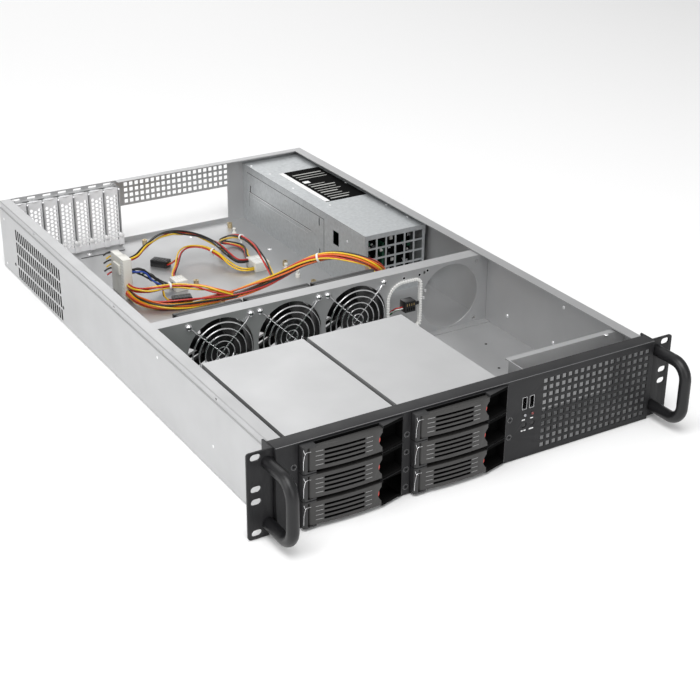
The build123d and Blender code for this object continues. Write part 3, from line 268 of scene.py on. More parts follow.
YELLOW = Finish("yellow wire", (0.78, 0.5, 0.012), 0.32, coat=0.4)
BLACK = Finish("black wire", (0.005, 0.005, 0.005), 0.35, coat=0.2)
RED = Finish("red wire", (0.5, 0.018, 0.012), 0.32, coat=0.4)
ORANGE = Finish("orange wire", (0.72, 0.13, 0.01), 0.32, coat=0.4)
BROWN = Finish("brown wire", (0.1, 0.03, 0.012), 0.35, coat=0.4)
BLUE = Finish("blue wire", (0.02, 0.07, 0.4), 0.32, coat=0.4)
GREEN = Finish("green wire", (0.015, 0.14, 0.03), 0.32, coat=0.4)
WHITE = Finish("white wire", (0.75, 0.75, 0.72), 0.35, coat=0.4)

CAD_FINISHES: dict[str, Finish] = {
    "zinc_sheet": ZINC,
    "supply_sheet": SUPPLY_ZINC,
    "black_paint": BLACK_COAT,
    "handle_black": HANDLE_COAT,
    "screw_steel": SCREW_STEEL,
    "standoff_brass": BRASS,
    "board_green": BOARD_GREEN,
    "tray_plastic": TRAY_GREY,
    "lever_plastic": LEVER_GREY,
    "release_red": RELEASE_RED,
    "port_steel": PORT_STEEL,
    "light_pipe": PIPE_CLEAR,
    "black_plastic": MOULDED_BLACK,
    "guard_wire": GUARD_STEEL,
    "white_nylon": NYLON_WHITE,
    "natural_nylon": NYLON_NATURAL,
    "wire_bundle": YELLOW,
    "wire_black": BLACK,
}


class Shape:
    """A mesh in the making, in millimetres, with one finish for each part of it."""

    def __init__(self) -> None:
        """Starts with nothing."""
        self.bm = bmesh.new()
        self.finishes: list[Finish] = []

    def take(self, part: bmesh.types.BMesh, finish: Finish, place: Matrix | None = None) -> None:
        """Takes another mesh in.

        Args:
            part: The mesh, which is used up.
            finish: Its finish.
            place: Where it goes.
        """
        if finish not in self.finishes:
            self.finishes.append(finish)
        index = self.finishes.index(finish)
        bmesh.ops.recalc_face_normals(part, faces=part.faces)
        for face in part.faces:
            face.material_index = index
        if place is not None:
            bmesh.ops.transform(part, matrix=place, verts=part.verts)
        mesh = bpy.data.meshes.new("part")
        part.to_mesh(mesh)
        part.free()
        self.bm.from_mesh(mesh)
        bpy.data.meshes.remove(mesh)

    def box(
        self,
        lows: Point,
        highs: Point,
        finish: Finish,
        round_by: float = 0.0,
        place: Matrix | None = None,
    ) -> None:
        """A box between two corners.

        Args:
            lows: The lowest corner.
            highs: The highest corner.
            finish: Its finish.
            round_by: Width of the rounding of its edges.
            place: Where it goes, if it is turned as well.
        """
        part = bmesh.new()
        bmesh.ops.create_cube(part, size=1)
        sizes = [high - low for low, high in zip(lows, highs)]
        middle = [(low + high) / 2 for low, high in zip(lows, highs)]
        bmesh.ops.scale(part, vec=sizes, verts=part.verts)
        bmesh.ops.translate(part, vec=middle, verts=part.verts)
        if round_by:
            round_edges(part, part.edges[:], round_by)
        self.take(part, finish, place)

    def cross(self, x: float, z: float, reach: float, depth: tuple[float, float], finish: Finish) -> None:
        """The cross recess of a screw head that faces the front, drawn as two dark bars: painted shade inside
        the recess.

        Args:
            x: The middle of the head, across.
            z: The middle of the head, up.
            reach: How far each arm reaches.
            depth: Where the arms start and end in Y.
            finish: Its finish.
        """
        for long, tall in ((reach, CROSS_HALF), (CROSS_HALF, reach)):
            self.box((x - long, depth[0], z - tall), (x + long, depth[1], z + tall), finish)

    def rod(
        self,
        base: Point,
        radius: float,
        length: float,
        axis: Axis,
        finish: Finish,
        sides: int = 20,
        round_by: float = 0.0,
        top: float | None = None,
    ) -> None:
        """A round bar or a cone from its base, along one axis.

        Args:
            base: The middle of its base.
            radius: The radius of its base.
            length: How far it reaches.
            axis: The direction that it points in.
            finish: Its finish.
            sides: How many sides it has.
            round_by: Width of the rounding at its far end.
            top: The radius of its far end, where it differs.
        """
        part = bmesh.new()
        far = radius if top is None else top
        bmesh.ops.create_cone(part, cap_ends=True, segments=sides, radius1=radius, radius2=far, depth=length)
        bmesh.ops.translate(part, vec=(0, 0, length / 2), verts=part.verts)
        if round_by:
            rim = [e for e in part.edges if all(v.co.z > length - 1e-6 for v in e.verts)]
            round_edges(part, rim, round_by)
        self.take(part, finish, Matrix.Translation(base) @ axis.turn())

    def ring(
        self,
        centre: Point,
        radius: float,
        wire: float,
        axis: Axis,
        finish: Finish,
        steps: int = 40,
        sides: int = 8,
    ) -> None:
        """A full ring of round wire.

        Args:
            centre: The middle of the ring.
            radius: The radius of the wire's centre line.
            wire: The wire's own radius.
            axis: The direction that the ring faces.
            finish: Its finish.
            steps: How many steps go round the ring.
            sides: How many sides the wire has.
        """
        part = bmesh.new()
        bmesh.ops.create_circle(part, segments=sides, radius=wire)
        bmesh.ops.rotate(part, matrix=Matrix.Rotation(math.pi / 2, 3, "X"), verts=part.verts)
        bmesh.ops.translate(part, vec=(radius, 0, 0), verts=part.verts)
        bmesh.ops.spin(
            part, geom=part.verts[:] + part.edges[:], cent=(0, 0, 0), axis=(0, 0, 1),
            angle=math.tau, steps=steps, use_merge=True,
        )
        bmesh.ops.remove_doubles(part, verts=part.verts, dist=1e-4)
        self.take(part, finish, Matrix.Translation(centre) @ axis.turn())

    def wire(self, points: Sequence[Point], radius: float, finish: Finish, sides: int = 8) -> None:
        """A round wire through points, closed at both ends.

        Args:
            points: The points of its centre line.
            radius: The wire's radius.
            finish: Its finish.
            sides: How many sides it has.
        """
        line = [Vector(point) for point in points]
        part = bmesh.new()
        made = bmesh.ops.create_circle(part, cap_ends=True, segments=sides, radius=radius)
        ring = made["verts"]
        way = directions(line)
        pose = aim(line[0], way[0])
        bmesh.ops.transform(part, matrix=pose, verts=ring)
        edges = part.edges[:]
        for here, toward in zip(line[1:], way[1:]):
            grown = bmesh.ops.extrude_edge_only(part, edges=edges)["geom"]
            ring = [g for g in grown if isinstance(g, bmesh.types.BMVert)]
            edges = [g for g in grown if isinstance(g, bmesh.types.BMEdge)]
            turn = pose.to_3x3().col[2].rotation_difference(toward).to_matrix().to_4x4()
            new = Matrix.Translation(here) @ turn @ Matrix.Translation(-pose.translation) @ pose
            bmesh.ops.transform(part, matrix=new @ pose.inverted(), verts=ring)
            pose = new
        bmesh.ops.contextual_create(part, geom=edges)
        self.take(part, finish)

    def dome(
        self,
        base: Point,
        radius: float,
        height: float,
        axis: Axis,
        finish: Finish,
        sides: int = 16,
    ) -> None:
        """A low round head standing on its base.

        Args:
            base: The middle of its base.
            radius: The radius of its base.
            height: How far it stands out.
            axis: The direction that it points in, with its sense in the sign of the height.
            finish: Its finish.
            sides: How many sides it has.
        """
        part = bmesh.new()
        bmesh.ops.create_uvsphere(part, u_segments=sides, v_segments=8, radius=1)
        bmesh.ops.bisect_plane(
            part, geom=part.verts[:] + part.edges[:] + part.faces[:], plane_co=(0, 0, 0),
            plane_no=(0, 0, -1), clear_outer=True, dist=1e-5,
        )
        rim = [e for e in part.edges if e.is_boundary]
        bmesh.ops.contextual_create(part, geom=rim)
        bmesh.ops.scale(part, vec=(radius, radius, height), verts=part.verts)
        self.take(part, finish, Matrix.Translation(base) @ axis.turn())

    def piece(
        self,
        name: str,
        body: str,
        replaces: Iterable[str] = (),
        smooth: float = 35.0,
        ride: bool = True,
    ) -> bpy.types.Object:
        """Makes the finished piece.

        Args:
            name: The piece's name.
            body: The body that it moves with.
            replaces: The CAD nodes that it stands for.
            smooth: The largest angle, in degrees, between two faces that shade as one.
            ride: False where the piece is not part of the object.

        Returns:
            The new object.
        """
        to_frame = Matrix.Scale(MM, 4) @ Matrix.Translation((0, -BODY_D / 2, 0))
        bmesh.ops.transform(self.bm, matrix=to_frame, verts=self.bm.verts)
        shade(self.bm, smooth)
        mesh = bpy.data.meshes.new(name)
        self.bm.to_mesh(mesh)
        self.bm.free()
        for finish in self.finishes:
            mesh.materials.append(finish.material())
        made = linked(name, mesh)
        if ride:
            declare(made, body, replaces)
        LOG.info("%s: %d faces on %s", name, len(mesh.polygons), body)
        return made


def linked(name: str, data: bpy.types.ID) -> bpy.types.Object:
    """Makes an object from its data and links it to the scene."""
    made = bpy.data.objects.new(name, data)
    bpy.context.scene.collection.objects.link(made)
    return made


def declare(made: bpy.types.Object, body: str, replaces: Iterable[str]) -> None:
    """Says which body a piece rides on and the CAD nodes that it stands for."""
    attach(made, body)
    if replaces:
        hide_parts(*replaces)


def round_edges(part: bmesh.types.BMesh, edges: list[bmesh.types.BMEdge], width: float) -> None:
    """Rounds edges by a width, in two steps."""
    bmesh.ops.bevel(
        part, geom=edges, offset=width, offset_type="OFFSET", segments=2, profile=0.5,
        affect="EDGES", clamp_overlap=True, material=-1,
    )


def shade(part: bmesh.types.BMesh, smooth: float) -> None:
    """Shades faces as one where they meet at less than the given angle in degrees."""
    limit = math.radians(smooth)
    for face in part.faces:
        face.smooth = True
    for edge in part.edges:
        edge.smooth = len(edge.link_faces) == 2 and edge.calc_face_angle(math.pi) < limit


def directions(line: Sequence[Vector]) -> list[Vector]:
    """The direction of a line at each of its points."""
    ends = [line[0], *line, line[-1]]
    return [(after - before).normalized() for before, after in zip(ends, ends[2:])]


def aim(place: Vector, toward: Vector) -> Matrix:
    """A pose at a place, with its Z axis along a direction."""
    turn = Vector((0, 0, 1)).rotation_difference(toward).to_matrix().to_4x4()
    return Matrix.Translation(place) @ turn


@dataclass(frozen=True)
class Region:
    """A box in millimetres whose faces take another finish."""

    lows: Point
    highs: Point
    finish: Finish

    def holds(self, place: Vector) -> bool:
        """Whether a place in metres lies in it."""
        low = at(*self.lows)
        high = at(*self.highs)
        return all(a <= p <= b for a, p, b in zip(low, place, high))


def soft_copy(
    node: str,
    body: str,
    finish: Finish,
    width: float,
    smooth: float = 35.0,
    regions: Sequence[Region] = (),
) -> bpy.types.Object:
    """A copy of a CAD node with its hard edges rounded, which stands for it.

    Args:
        node: The CAD node.
        body: The body that it moves with.
        finish: Its finish.
        width: Width of the rounding, in millimetres, or 0 for smooth shading alone.
        smooth: The largest angle between two faces that shade as one.
        regions: The boxes whose faces take another finish.

    Returns:
        The new object.
    """
    bm = bmesh.new()
    bm.from_mesh(frame["nodes"][node].data)
    bmesh.ops.remove_doubles(bm, verts=bm.verts, dist=2e-6)
    if width:
        bmesh.ops.dissolve_limit(bm, angle_limit=math.radians(1.0), verts=bm.verts, edges=bm.edges)
        sharp = [e for e in bm.edges if len(e.link_faces) == 2 and e.calc_face_angle(0) > math.radians(35)]
        round_edges(bm, sharp, width * MM)
    shade(bm, smooth)
    for face in bm.faces:
        middle = face.calc_center_median()
        for number, region in enumerate(regions, 1):
            if region.holds(middle):
                face.material_index = number
    mesh = bpy.data.meshes.new(node + "_soft")
    bm.to_mesh(mesh)
    bm.free()
    for each in (finish, *(region.finish for region in regions)):
        mesh.materials.append(each.material())
    made = linked(node + "_soft", mesh)
    declare(made, body, (node,))
    LOG.info("%s_soft: %d faces on %s", node, len(mesh.polygons), body)
    return made


@dataclass
class Studio:
    """The camera at the photo's viewing angle, soft light and a pale floor."""

    eye: Point = (-726.69, -963.98, 710.25)
    yaw: float = 0.546105
    pitch: float = 0.450625
    roll: float = 0.0082392
    lens: float = 74.94
    film: float = 36.0
    floor_size: float = 14.0
    sky: float = 0.5

    def camera(self) -> None:
        """Places the camera and makes it the scene's own."""
        flat = math.cos(self.pitch)
        forward = Vector((math.sin(self.yaw) * flat, math.cos(self.yaw) * flat, -math.sin(self.pitch)))
        level = Vector((math.cos(self.yaw), -math.sin(self.yaw), 0))
        up = level.cross(forward)
        right = math.cos(self.roll) * level + math.sin(self.roll) * up
        top = -math.sin(self.roll) * level + math.cos(self.roll) * up
        data = bpy.data.cameras.new("camera")
        data.lens = self.lens
        data.sensor_width = self.film
        data.clip_start = 0.01
        data.clip_end = self.floor_size * 4
        made = linked("camera", data)
        turn = Matrix((right, top, -forward)).transposed().to_4x4()
        made.matrix_world = Matrix.Translation(at(*self.eye)) @ turn
        bpy.context.scene.camera = made

    def lamp(self, name: str, place: Point, size: float, power: float, aim_at: Point = (0, 360, 30)) -> None:
        """A square soft light.

        Args:
            name: The light's name.
            place: Where it stands.
            size: The length of its side, in metres.
            power: Its power in watts.
            aim_at: The point that it faces.
        """
        data = bpy.data.lights.new(name, "AREA")
        data.size = size
        data.energy = power
        made = linked(name, data)
        made.location = at(*place)
        made.rotation_mode = "QUATERNION"
        made.rotation_quaternion = (at(*aim_at) - at(*place)).to_track_quat("-Z", "Y")

    def build(self) -> None:
        """Makes light, sky and floor."""
        self.lamp("key light", (-700, -500, 2300), 1.7, 44)
        self.lamp("back light", (500, 2700, 1500), 1.9, 13)
        self.lamp("side light", (-2300, 200, 1100), 1.6, 21)
        self.lamp("front light", (-300, -2500, 1300), 1.8, 18)
        world = bpy.data.worlds.new("studio")
        world.use_nodes = True
        sky = world.node_tree.nodes["Background"]
        sky.inputs["Color"].default_value = (1, 1, 1, 1)
        sky.inputs["Strength"].default_value = self.sky
        bpy.context.scene.world = world
        bpy.context.scene.view_settings.view_transform = "Standard"
        shape = Shape()
        half = self.floor_size / 2 / MM
        shape.box((-half, -half, -6), (half, half, -0.5), FLOOR_WHITE)
        shape.piece("studio_floor", "", ride=False)


@dataclass(frozen=True)
class Strand:
    """One insulated wire of a loom."""

    finish: Finish
    width: float


@dataclass(frozen=True)
class Loom:
    """A bundle of wires that follows one curve.

    Args:
        node: The CAD node that it stands for.
        diameter: The bundle's outer size.
        length: Its length along the curve; not used.
        route: The control points of the curve.
        strands: Its wires.
        far_end: What its far end is; not used.
        spread: How far the wires part between ties, as a share of the bundle's size.
        tight: The shares of the length where a tie holds the wires together.
        seed: The seed of its wandering.
        slot: The material slot of the record; not used.
    """

    node: str
    diameter: float
    length: float
    route: tuple[Point, ...]
    strands: tuple[Strand, ...]
    far_end: str
    spread: float
    tight: tuple[float, ...]
    seed: int
    slot: Slot = Slot.WIRES

    def centre(self) -> list[Vector]:
        """Points along the curve, in metres."""
        curve = bpy.data.curves.new(self.node + "_line", "CURVE")
        curve.dimensions = "3D"
        curve.resolution_u = 12
        spline = curve.splines.new("NURBS")
        spline.points.add(len(self.route) - 1)
        for point, place in zip(spline.points, self.route):
            point.co = (*at(*place), 1)
        spline.order_u = 3
        spline.use_endpoint_u = True
        holder = bpy.data.objects.new(self.node + "_line", curve)
        mesh = bpy.data.meshes.new_from_object(holder)
        line = [v.co.copy() for v in mesh.vertices]
        bpy.data.meshes.remove(mesh)
        bpy.data.objects.remove(holder)
        bpy.data.curves.remove(curve)
        return line

    def build(self) -> tuple[bpy.types.Object, list[Vector]]:
        """Makes the wires as one mesh.

        Returns:
            The piece and the centre line that it follows.
        """
        line = self.centre()
        way = directions(line)
        side = way[0].orthogonal().normalized()
        sides = [side]
        for before, after in zip(way, way[1:]):
            side = before.rotation_difference(after) @ side
            side = (side - side.project(after)).normalized()
            sides.append(side)
        run = [0.0]
        for before, after in zip(line, line[1:]):
            run.append(run[-1] + (after - before).length)
        total = run[-1]
        chance = random.Random(self.seed)
        curve = bpy.data.curves.new(self.node + "_wires", "CURVE")
        curve.dimensions = "3D"
        curve.bevel_depth = MM
        curve.bevel_resolution = 2
        curve.use_fill_caps = True
        count = len(self.strands)
        finishes: list[Finish] = []
        for index, strand in enumerate(self.strands):
            if strand.finish not in finishes:
                finishes.append(strand.finish)
                curve.materials.append(strand.finish.material())
            inner = count > 6 and index % 4 == 3
            ring = (self.diameter - strand.width) / 2 * (0.35 if inner else 1.0)
            angle = math.tau * index / count
            phase = chance.uniform(0, math.tau)
            beat = chance.uniform(1.5, 3.5)
            swing = chance.uniform(-0.8, 0.8)
            reach = chance.uniform(0.2, 1.0)
            spline = curve.splines.new("POLY")
            spline.points.add(len(line) - 1)
            spline.material_index = finishes.index(strand.finish)
            for number, (place, toward, left) in enumerate(zip(line, way, sides)):
                share = run[number] / total
                loose = min([1.0, share * 6, (1 - share) * 6] + [abs(share - tie) * 6 for tie in self.tight])
                wave = math.sin(math.tau * beat * share + phase)
                away = ring * (1 + self.spread * reach * loose * (0.6 + 0.4 * wave))
                turn = angle + math.tau * total / 0.3 * share + swing * loose * wave
                up = toward.cross(left)
                spot = place + (math.cos(turn) * left + math.sin(turn) * up) * away * MM
                spot.z = max(spot.z, (FLOOR_TOP + strand.width / 2 + 0.05) * MM)
                spline.points[number].co = (*spot, 1)
                spline.points[number].radius = strand.width / 2
        holder = bpy.data.objects.new(self.node + "_wires", curve)
        mesh = bpy.data.meshes.new_from_object(holder)
        bpy.data.objects.remove(holder)
        bpy.data.curves.remove(curve)
        mesh.name = self.node + "_wires"
        mesh.shade_smooth()
        made = linked(self.node + "_wires", mesh)
        declare(made, "chassis", (self.node,))
        LOG.info("%s_wires: %d wires, %.1f mm long", self.node, count, total / MM)
        return made, line


def strands(width: float, *finishes: Finish) -> tuple[Strand, ...]:
    """Wires of one width in the given colours."""
    return tuple(Strand(finish, width) for finish in finishes)


MAIN = Loom(
    "loom_main", 9.0, 399.5,
    (
        (133, 409, 36), (133, 387, 36), (128, 366, 47), (114.5, 361, 61), (95.5, 374, 70),
        (73.5, 397.5, 70), (53.5, 420, 58), (36, 441, 39), (16, 460, 21), (-11, 474, 9),
        (-43, 481, 6.3), (-72, 483, 6.3), (-95, 489, 6.5), (-111, 499.5, 7.5), (-120.5, 514.5, 9),
        (-122.5, 528.5, 9), (-122.5, 541.5, 9),
    ),
    strands(2.3, YELLOW, BLACK, ORANGE, YELLOW, RED, BLACK, ORANGE, BROWN, YELLOW, RED, ORANGE),
    "connector", 0.75, (0.4,), 3,
)
ARC = Loom(
    "loom_arc", 5.5, 218.1,
    (
        (-116.5, 558, 45), (-105, 558, 45), (-88, 568, 52), (-65.5, 585, 55), (-41, 602, 50),
        (-15.5, 614, 42), (6, 612.5, 34), (21.5, 599.5, 26), (28, 580.5, 18.5), (32, 566.5, 12.5),
        (38.5, 560, 10), (47.5, 560, 10),
    ),
    strands(2.2, BLACK, YELLOW, RED, BLACK), "connector", 0.9, (), 5,
)
RIGHT = Loom(
    "loom_right", 5.5, 282.0,
    (
        (26, 450.5, 30), (30.5, 465, 30.5), (34.5, 483, 34), (38, 504, 39), (40.5, 527.5, 43),
        (41, 551.5, 43.5), (40.5, 574.5, 40), (40, 594, 32), (39, 611.5, 23), (41.5, 627, 14),
        (50, 636.5, 8), (62, 634, 5),
        (69, 620, 4.5), (67.5, 603, 4.8), (59.5, 587, 5.5), (57.5, 576, 5.5), (57.5, 565.5, 5.5),
    ),
    strands(2.2, YELLOW, BLACK, RED, BLACK), "object", 0.9, (0.37,), 7,
)
LOOP = Loom(
    "loom_loop", 5.0, 194.7,
    (
        (47.5, 544, 5), (37, 544, 5), (29, 551, 6), (24.5, 566, 8.5), (22, 589, 12.5), (14.5, 612, 17),
        (-3.5, 622, 19), (-20.5, 613.5, 18), (-32, 596, 15), (-42.5, 580.5, 12), (-51.5, 569, 9.5),
        (-54.5, 560.5, 9), (-54.5, 551, 9),
    ),
    strands(2.0, YELLOW, YELLOW, BLACK, RED), "connector", 0.9, (0.42,), 11,
)
FRONT = Loom(
    "loom_front", 6.0, 135.9,
    (
        (-122, 541.5, 19), (-122, 529, 19), (-116.5, 519, 19.5), (-105.5, 512.5, 21), (-90.5, 510, 22),
        (-75, 507, 22), (-59.5, 498, 21), (-45, 487, 20), (-32, 476.5, 16), (-17.5, 473.5, 10.5),
    ),
    strands(2.2, RED, ORANGE, YELLOW, RED, YELLOW), "object", 0.9, (0.45,), 13,
)
DARK = Loom(
    "loom_black", 7.0, 60.7,
    (
        (-116.5, 549.5, 33), (-108.5, 549.5, 33), (-100.5, 549, 30), (-92, 546.5, 23.5), (-84.5, 543.5, 16),
        (-78, 541, 10.5), (-72, 540, 8), (-65, 540, 8),
    ),
    strands(2.2, BLACK, BLACK, BLUE, BLACK, GREEN, BLACK), "object", 0.7, (), 17, Slot.WIRE_BLACK,
)
FAN_LEAD = Loom(
    "fan_lead", 3.5, 36.0,
    ((76.5, 298, 26), (82.5, 298, 26), (88, 294, 30), (90, 286.5, 37.5), (92.5, 281, 41), (98, 281, 41)),
    strands(1.3, RED, WHITE, GREEN, BLACK), "connector", 0.6, (), 19, Slot.WIRE_BLACK,
)


@dataclass
class Looms:
    """The looms in the board space with their plugs and ties."""

    main_plug: tuple[Point, Point] = ((-127.5, 541.5, 1.2), (-116.5, 581.5, 52.0))
    square_plug: tuple[Point, Point] = ((47.5, 538.5, 1.2), (67.5, 565.5, 13.2))
    eight_plug: tuple[Point, Point] = ((-65.0, 531.0, 1.2), (-49.0, 551.0, 15.0))
    fan_plug: tuple[Point, Point] = ((98.0, 274.5, 37.0), (112.0, 286.5, 50.0))
    drive_size: tuple[float, float, float] = (23.0, 13.0, 8.5)
    drive_ribs: int = 5
    lead_radius: float = 1.0
    lead_finishes: tuple[Finish, ...] = (YELLOW, BLACK, RED)
    main_pins: int = 12
    stub_finishes: tuple[Finish, ...] = (BLACK, YELLOW, BLACK, YELLOW, BLACK, RED)
    stub_line: tuple[Point, ...] = (
        (0, -0.5, 0), (0, 2.5, 0), (-1.5, 5.5, -0.8), (-5, 7.5, -2.6), (-9, 8, -5),
    )
    stub_pitch: float = 5.2
    stub_radius: float = 1.05
    tie_width: float = 2.4
    tie_gap: float = 0.15
    tie_thick: float = 1.0
    tie_head: float = 4.0

    def plug_main(self) -> bpy.types.Object:
        """The joined pair of main connectors, standing on end."""
        (x0, y0, z0), (x1, y1, z1) = self.main_plug
        middle = (y0 + y1) / 2
        shape = Shape()
        shape.box((x0, y0, z0), (x1, middle - 0.4, z1), NYLON_NATURAL, 0.6)
        shape.box((x0 + 0.8, middle - 0.4, z0 + 0.2), (x1 - 0.8, y1, z1 - 1.2), NYLON_NATURAL, 0.6)
        shape.box((x0 - 2.4, middle - 11, z1 - 21), (x0 + 0.2, middle + 7, z1 - 9), NYLON_NATURAL, 0.5)
        pitch = (z1 - z0 - 4) / self.main_pins
        for step in range(self.main_pins):
            z = z0 + 2 + pitch * step
            rib_top = z + pitch - 0.7
            shape.box((x0 - 0.25, y0 + 1.5, z + 0.5), (x0 + 0.2, middle - 12, rib_top), NYLON_WHITE, 0.15)
            # The pin holes are black boxes: painted shade in the holes.
            for x in (x0 + 1.4, (x0 + x1) / 2 + 0.5):
                shape.box((x, y1 - 0.2, z + 0.6), (x + 3.6, y1, z + pitch - 0.6), MATT_BLACK_AND_SHADE)
        for step, finish in enumerate(self.stub_finishes):
            start = Vector((x0 + 3.2 + 3.4 * (step % 2), y1, z1 - 4 - self.stub_pitch * step))
            shape.wire([tuple(start + Vector(point)) for point in self.stub_line], self.stub_radius, finish)
        return shape.piece("plug_main_shell", "chassis", ["plug_main"])

    def small_plug(self, name: str, node: str, limits: tuple[Point, Point], columns: int) -> bpy.types.Object:
        """One plain plug with its rows of holes on top.

        Args:
            name: The piece's name.
            node: The CAD node that it stands for.
            limits: Its lowest and highest corners.
            columns: How many holes stand in a row.

        Returns:
            The new object.
        """
        (x0, y0, z0), (x1, y1, z1) = limits
        shape = Shape()
        shape.box((x0, y0, z0), (x1, y1, z1 - 0.3), NYLON_NATURAL, 0.7)
        pitch = (x1 - x0 - 3) / columns
        for step in range(columns):
            x = x0 + 1.5 + pitch * step
            for y in (y0 + 2.5, (y0 + y1) / 2 + 0.8):
                back = y + (y1 - y0) / 2 - 4.5
                shape.box((x + 0.6, y, z1 - 0.6), (x + pitch - 0.6, back, z1 - 0.2), NYLON_WHITE, 0.1)
        return shape.piece(name, "chassis", [node])

    def plug_fan(self) -> bpy.types.Object:
        """The fan's black plug with its four slots, clipped to the edge strip."""
        (x0, y0, z0), (x1, y1, z1) = self.fan_plug
        shape = Shape()
        shape.box((x0, y0, z0), (x1, y1, z1), MOULDED_BLACK, 0.5)
        pitch = (x1 - x0 - 2) / 4
        for step in range(4):
            x = x0 + 1 + pitch * step
            # The four slots are black boxes: painted shade in the openings.
            shape.box((x + 0.8, y0 - 0.05, z0 + 2.0), (x + pitch - 0.8, y0 + 0.3, z0 + 5.4), MATT_BLACK_AND_SHADE)
            shape.box((x + 1.1, y0 - 0.1, z1 - 5.2), (x + pitch - 1.1, y0 + 0.2, z1 - 2.4), GOLD)
        middle = (y0 + y1) / 2
        shape.box((x1 - 0.2, middle - 1, 41.5), (119.8, middle + 1, 45.5), MOULDED_BLACK, 0.3)
        return shape.piece("plug_fan_shell", "chassis", ["plug_fan"])

    def tie(self, name: str, loom: Loom, run: int) -> bpy.types.Object:
        """A strap around a loom at the middle of one run of its route.

        Args:
            name: The piece's name.
            loom: The loom that it holds.
            run: The number of the run.

        Returns:
            The new object.
        """
        before = Vector(loom.route[run])
        after = Vector(loom.route[run + 1])
        pose = aim((before + after) / 2, (after - before).normalized())
        outer = loom.diameter / 2 + self.tie_gap + self.tie_thick
        inner = outer - self.tie_thick
        strap = bmesh.new()
        bmesh.ops.create_circle(strap, segments=4, radius=0.1)
        edge = self.tie_width / 2
        corners = [(inner, -edge), (outer, -edge), (outer, edge), (inner, edge)]
        for vert, (reach, height) in zip(strap.verts, corners):
            vert.co = (reach, 0, height)
        bmesh.ops.spin(
            strap, geom=strap.verts[:] + strap.edges[:], cent=(0, 0, 0), axis=(0, 0, 1),
            angle=math.tau, steps=28, use_merge=True,
        )
        bmesh.ops.remove_doubles(strap, verts=strap.verts, dist=1e-4)
        shape = Shape()
        shape.take(strap, NYLON_WHITE, pose)
        half = self.tie_head / 2
        low = outer - 0.8
        shape.box((-half, low, -half / 1.7), (half, low + self.tie_head, half / 1.7), NYLON_WHITE, 0.4, pose)
        return shape.piece(name, "chassis", ["cable_ties"])

    def drive_plug(
        self,
        name: str,
        centre: Point,
        turn: float,
        lead: Sequence[tuple[Point, Point]],
    ) -> bpy.types.Object:
        """A black drive plug that lies on the floor, with its short leads.

        Args:
            name: The piece's name.
            centre: The middle of its underside.
            turn: Its turn about the vertical, in degrees.
            lead: The points of the first lead, each with its step to the next lead.

        Returns:
            The new object.
        """
        shape = Shape()
        pose = Matrix.Translation(centre) @ Matrix.Rotation(math.radians(turn), 4, "Z")
        long, deep, tall = self.drive_size
        shape.box((-long / 2, -deep / 2, 0), (long / 2, deep / 2, tall), MOULDED_BLACK, 0.5, pose)
        front = -deep / 2
        side = long / 2 - 1.5
        shape.box((-side, front - 0.8, 1), (side, front + 0.2, tall - 1), MOULDED_BLACK, 0.3, pose)
        pitch = (long - 4) / self.drive_ribs
        for step in range(self.drive_ribs):
            low = -long / 2 + 2.6 + pitch * step
            rib_top = (low + pitch - 1.2, deep / 2 - 2, tall + 0.4)
            shape.box((low, front + 1, tall - 0.3), rib_top, MOULDED_BLACK, 0.2, pose)
        for index, finish in enumerate(self.lead_finishes):
            line = [tuple(Vector(point) + Vector(step) * index) for point, step in lead]
            shape.wire(line, self.lead_radius, finish)
        return shape.piece(name, "chassis")

    def build(self) -> None:
        """Makes every loom, with its plugs, ties and drive plugs."""
        main_plug = self.plug_main()
        square = self.small_plug("plug_square_shell", "plug_square", self.square_plug, 2)
        eight = self.small_plug("plug_eight_shell", "plug_eight", self.eight_plug, 4)
        fan = self.plug_fan()
        near = self.drive_plug(
            "drive_plug_near", (-72, 500, FLOOR_TOP), -12,
            (
                ((-83, 502, 5), (0, 2.4, 0)), ((-88, 503, 6.5), (0, 2.4, 0)),
                ((-92, 505, 12), (0, 1.6, 0)), ((-92.5, 507, 18.5), (0, 0.8, 0)),
            ),
        )
        far = self.drive_plug(
            "drive_plug_far", (-46, 619, FLOOR_TOP), -50,
            (
                ((-39, 611, 5), (-2.2, -1.4, 0)), ((-36, 606, 8), (-1.2, -1.4, 0)),
                ((-33, 601.5, 12.5), (-1, -1, 0)), ((-30.5, 599, 15), (-1, -1, 0)),
            ),
        )
        pieces = {
            MAIN.node: (main_plug, self.tie("tie_main", MAIN, 5)),
            ARC.node: (square,),
            RIGHT.node: (self.tie("tie_right", RIGHT, 5),),
            LOOP.node: (eight, self.tie("tie_loop", LOOP, 4), far),
            FRONT.node: (self.tie("tie_front", FRONT, 4), near),
            DARK.node: (),
            FAN_LEAD.node: (fan,),
        }
        for loom in (MAIN, ARC, RIGHT, LOOP, FRONT, DARK, FAN_LEAD):
            made, line = loom.build()


